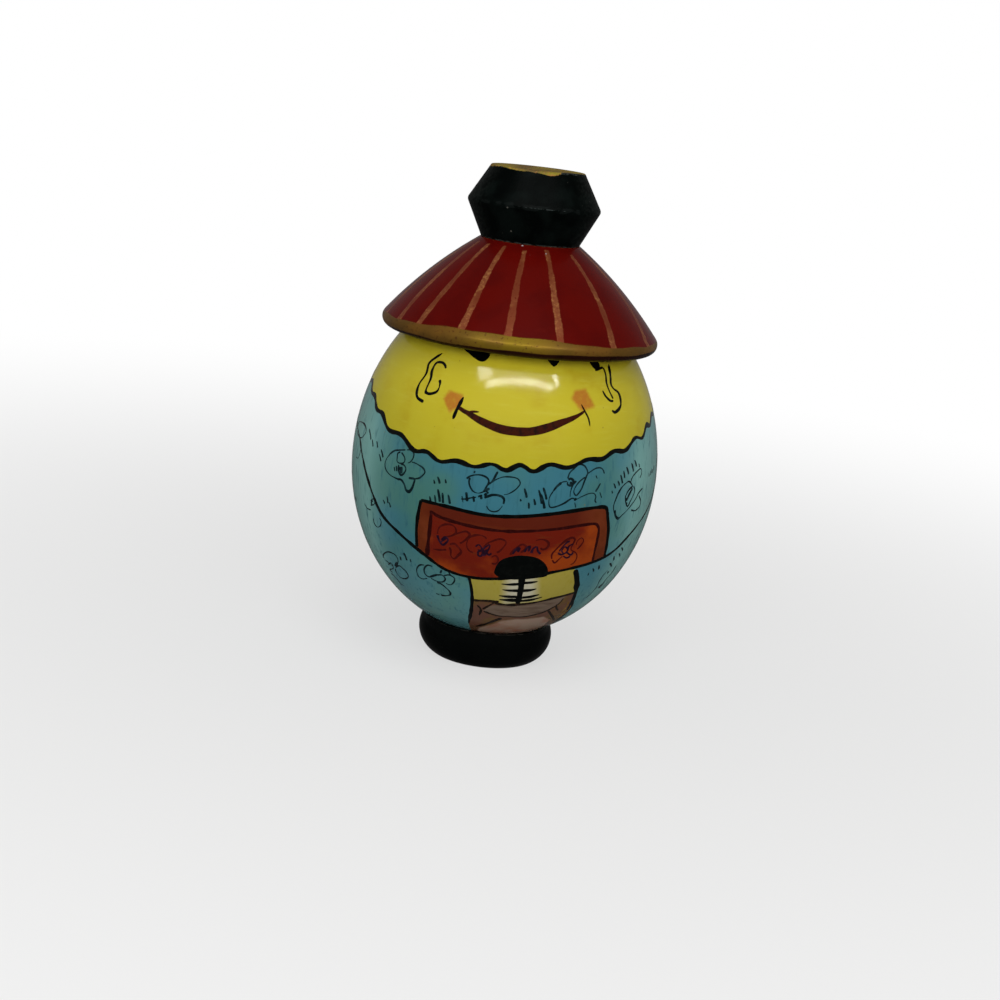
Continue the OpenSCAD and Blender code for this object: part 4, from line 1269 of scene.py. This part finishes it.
# Seen directly the paper is whitened, less so near the doll, where its shadow stays, and not at all inside
# the ring's bore. Mirrored in the lacquer it is dim near the doll and brighter further off.
sheet_paper, tree, shader = finish_of("pale_paper")
seen = put(tree, "LightPath").outputs
by_camera = seen["Is Camera Ray"]
direct = sum_of(tree, "MAXIMUM", by_camera, seen["Is Glossy Ray"])
direct = sum_of(tree, "MAXIMUM", direct, seen["Is Transmission Ray"])
away = put(tree, "VectorMath", {0: place_of(tree)}, operation="LENGTH").outputs["Value"]
direct = times(tree, direct, between(tree, away, SHADE_R, WHITE_FROM_R))
mirrored = between(tree, away, 0.08, 0.60, low=0.08, high=0.24)
bright = sum_of(tree, "MAXIMUM", mirrored, by_camera)
near = between(tree, by_camera, 0.0, 1.0, low=1.0, high=0.60)
share = between(tree, away, 0.03, 0.35, low=near, high=1.0, kind="SMOOTHSTEP")
glow = put(tree, "Emission", {"Color": (1, 1, 1, 1), "Strength": bright})
shader.inputs["Base Color"].default_value = SHEET_PAPER
shader.inputs["Roughness"].default_value = 0.9
shader.inputs["Specular IOR Level"].default_value = 0.1
blended = put(tree, "MixShader", {0: times(tree, direct, share), 1: shader.outputs[0], 2: glow.outputs[0]})
tree.links.new(blended.outputs[0], tree.nodes["Material Output"].inputs["Surface"])
pale_sheet.data.materials.append(sheet_paper)

# The room glows evenly: white to the camera, softer as light on the doll, and softer still in its lacquer.
world = bpy.data.worlds.new("soft_room")
bpy.context.scene.world = world
world.use_nodes = True
tree = world.node_tree
seen = put(tree, "LightPath").outputs
room = tree.nodes["Background"].inputs
room["Color"].default_value = ROOM_WHITE
lighting = between(tree, seen["Is Diffuse Ray"], 0.0, 1.0, low=0.20, high=0.42)
tree.links.new(sum_of(tree, "MAXIMUM", lighting, seen["Is Camera Ray"]), room["Strength"])


def toward(turn, climb, reach):
    """The point at a turn and a climb in degrees and a distance from the forehead."""
    turn, climb = np.radians(turn), np.radians(climb)
    way = Vector((np.sin(turn) * np.cos(climb), -np.cos(turn) * np.cos(climb), np.sin(climb)))
    return FOREHEAD + reach * way


def soft_lamp(name, start, end, depth, power):
    """A lamp as long as the way from start to end and depth across it, which faces the forehead."""
    lamp = bpy.data.lights.new(name, "AREA")
    lamp.shape = "RECTANGLE"
    lamp.size = (end - start).length
    lamp.size_y = depth
    lamp.energy = power
    middle = (start + end) / 2
    back = (middle - FOREHEAD).normalized()
    side = (end - start).normalized()
    side = (side - back * side.dot(back)).normalized()
    up = back.cross(side)
    holder = bpy.data.objects.new(name, lamp)
    bpy.context.scene.collection.objects.link(holder)
    holder.matrix_world = Matrix.Translation(middle) @ Matrix((side, up, back)).transposed().to_4x4()
    return holder


# Each lamp: its name, the turn and climb of its two ends in degrees, its depth, and its power in watts. The
# box gives only the highlight on the forehead, and the two others only the light.
BOX = [("box_lower_edge", (-33, 43), (36, 42.5), 0.026, 0.95),
       ("box_left_side", (-36, 45), (-52, 58), 0.085, 0.54),
       ("box_middle", (-33, 52), (38, 52), 0.10, 0.28),
       ("box_right_side", (41.2, 43.5), (44.6, 57), 0.012, 0.27)]
LIGHT = [("front_lamp", (-50, 17), (42, 17), 0.32, 3.1),
         ("top_lamp", (-35, 64), (35, 64), 0.45, 1.5)]
for name, start, end, depth, power in BOX:
    lamp = soft_lamp(name, toward(*start, BOX_REACH), toward(*end, BOX_REACH), depth, power)
    lamp.visible_diffuse = False
for name, start, end, depth, power in LIGHT:
    lamp = soft_lamp(name, toward(*start, LAMP_REACH), toward(*end, LAMP_REACH), depth, power)
    lamp.visible_glossy = False

bpy.context.scene.view_settings.view_transform = "Standard"
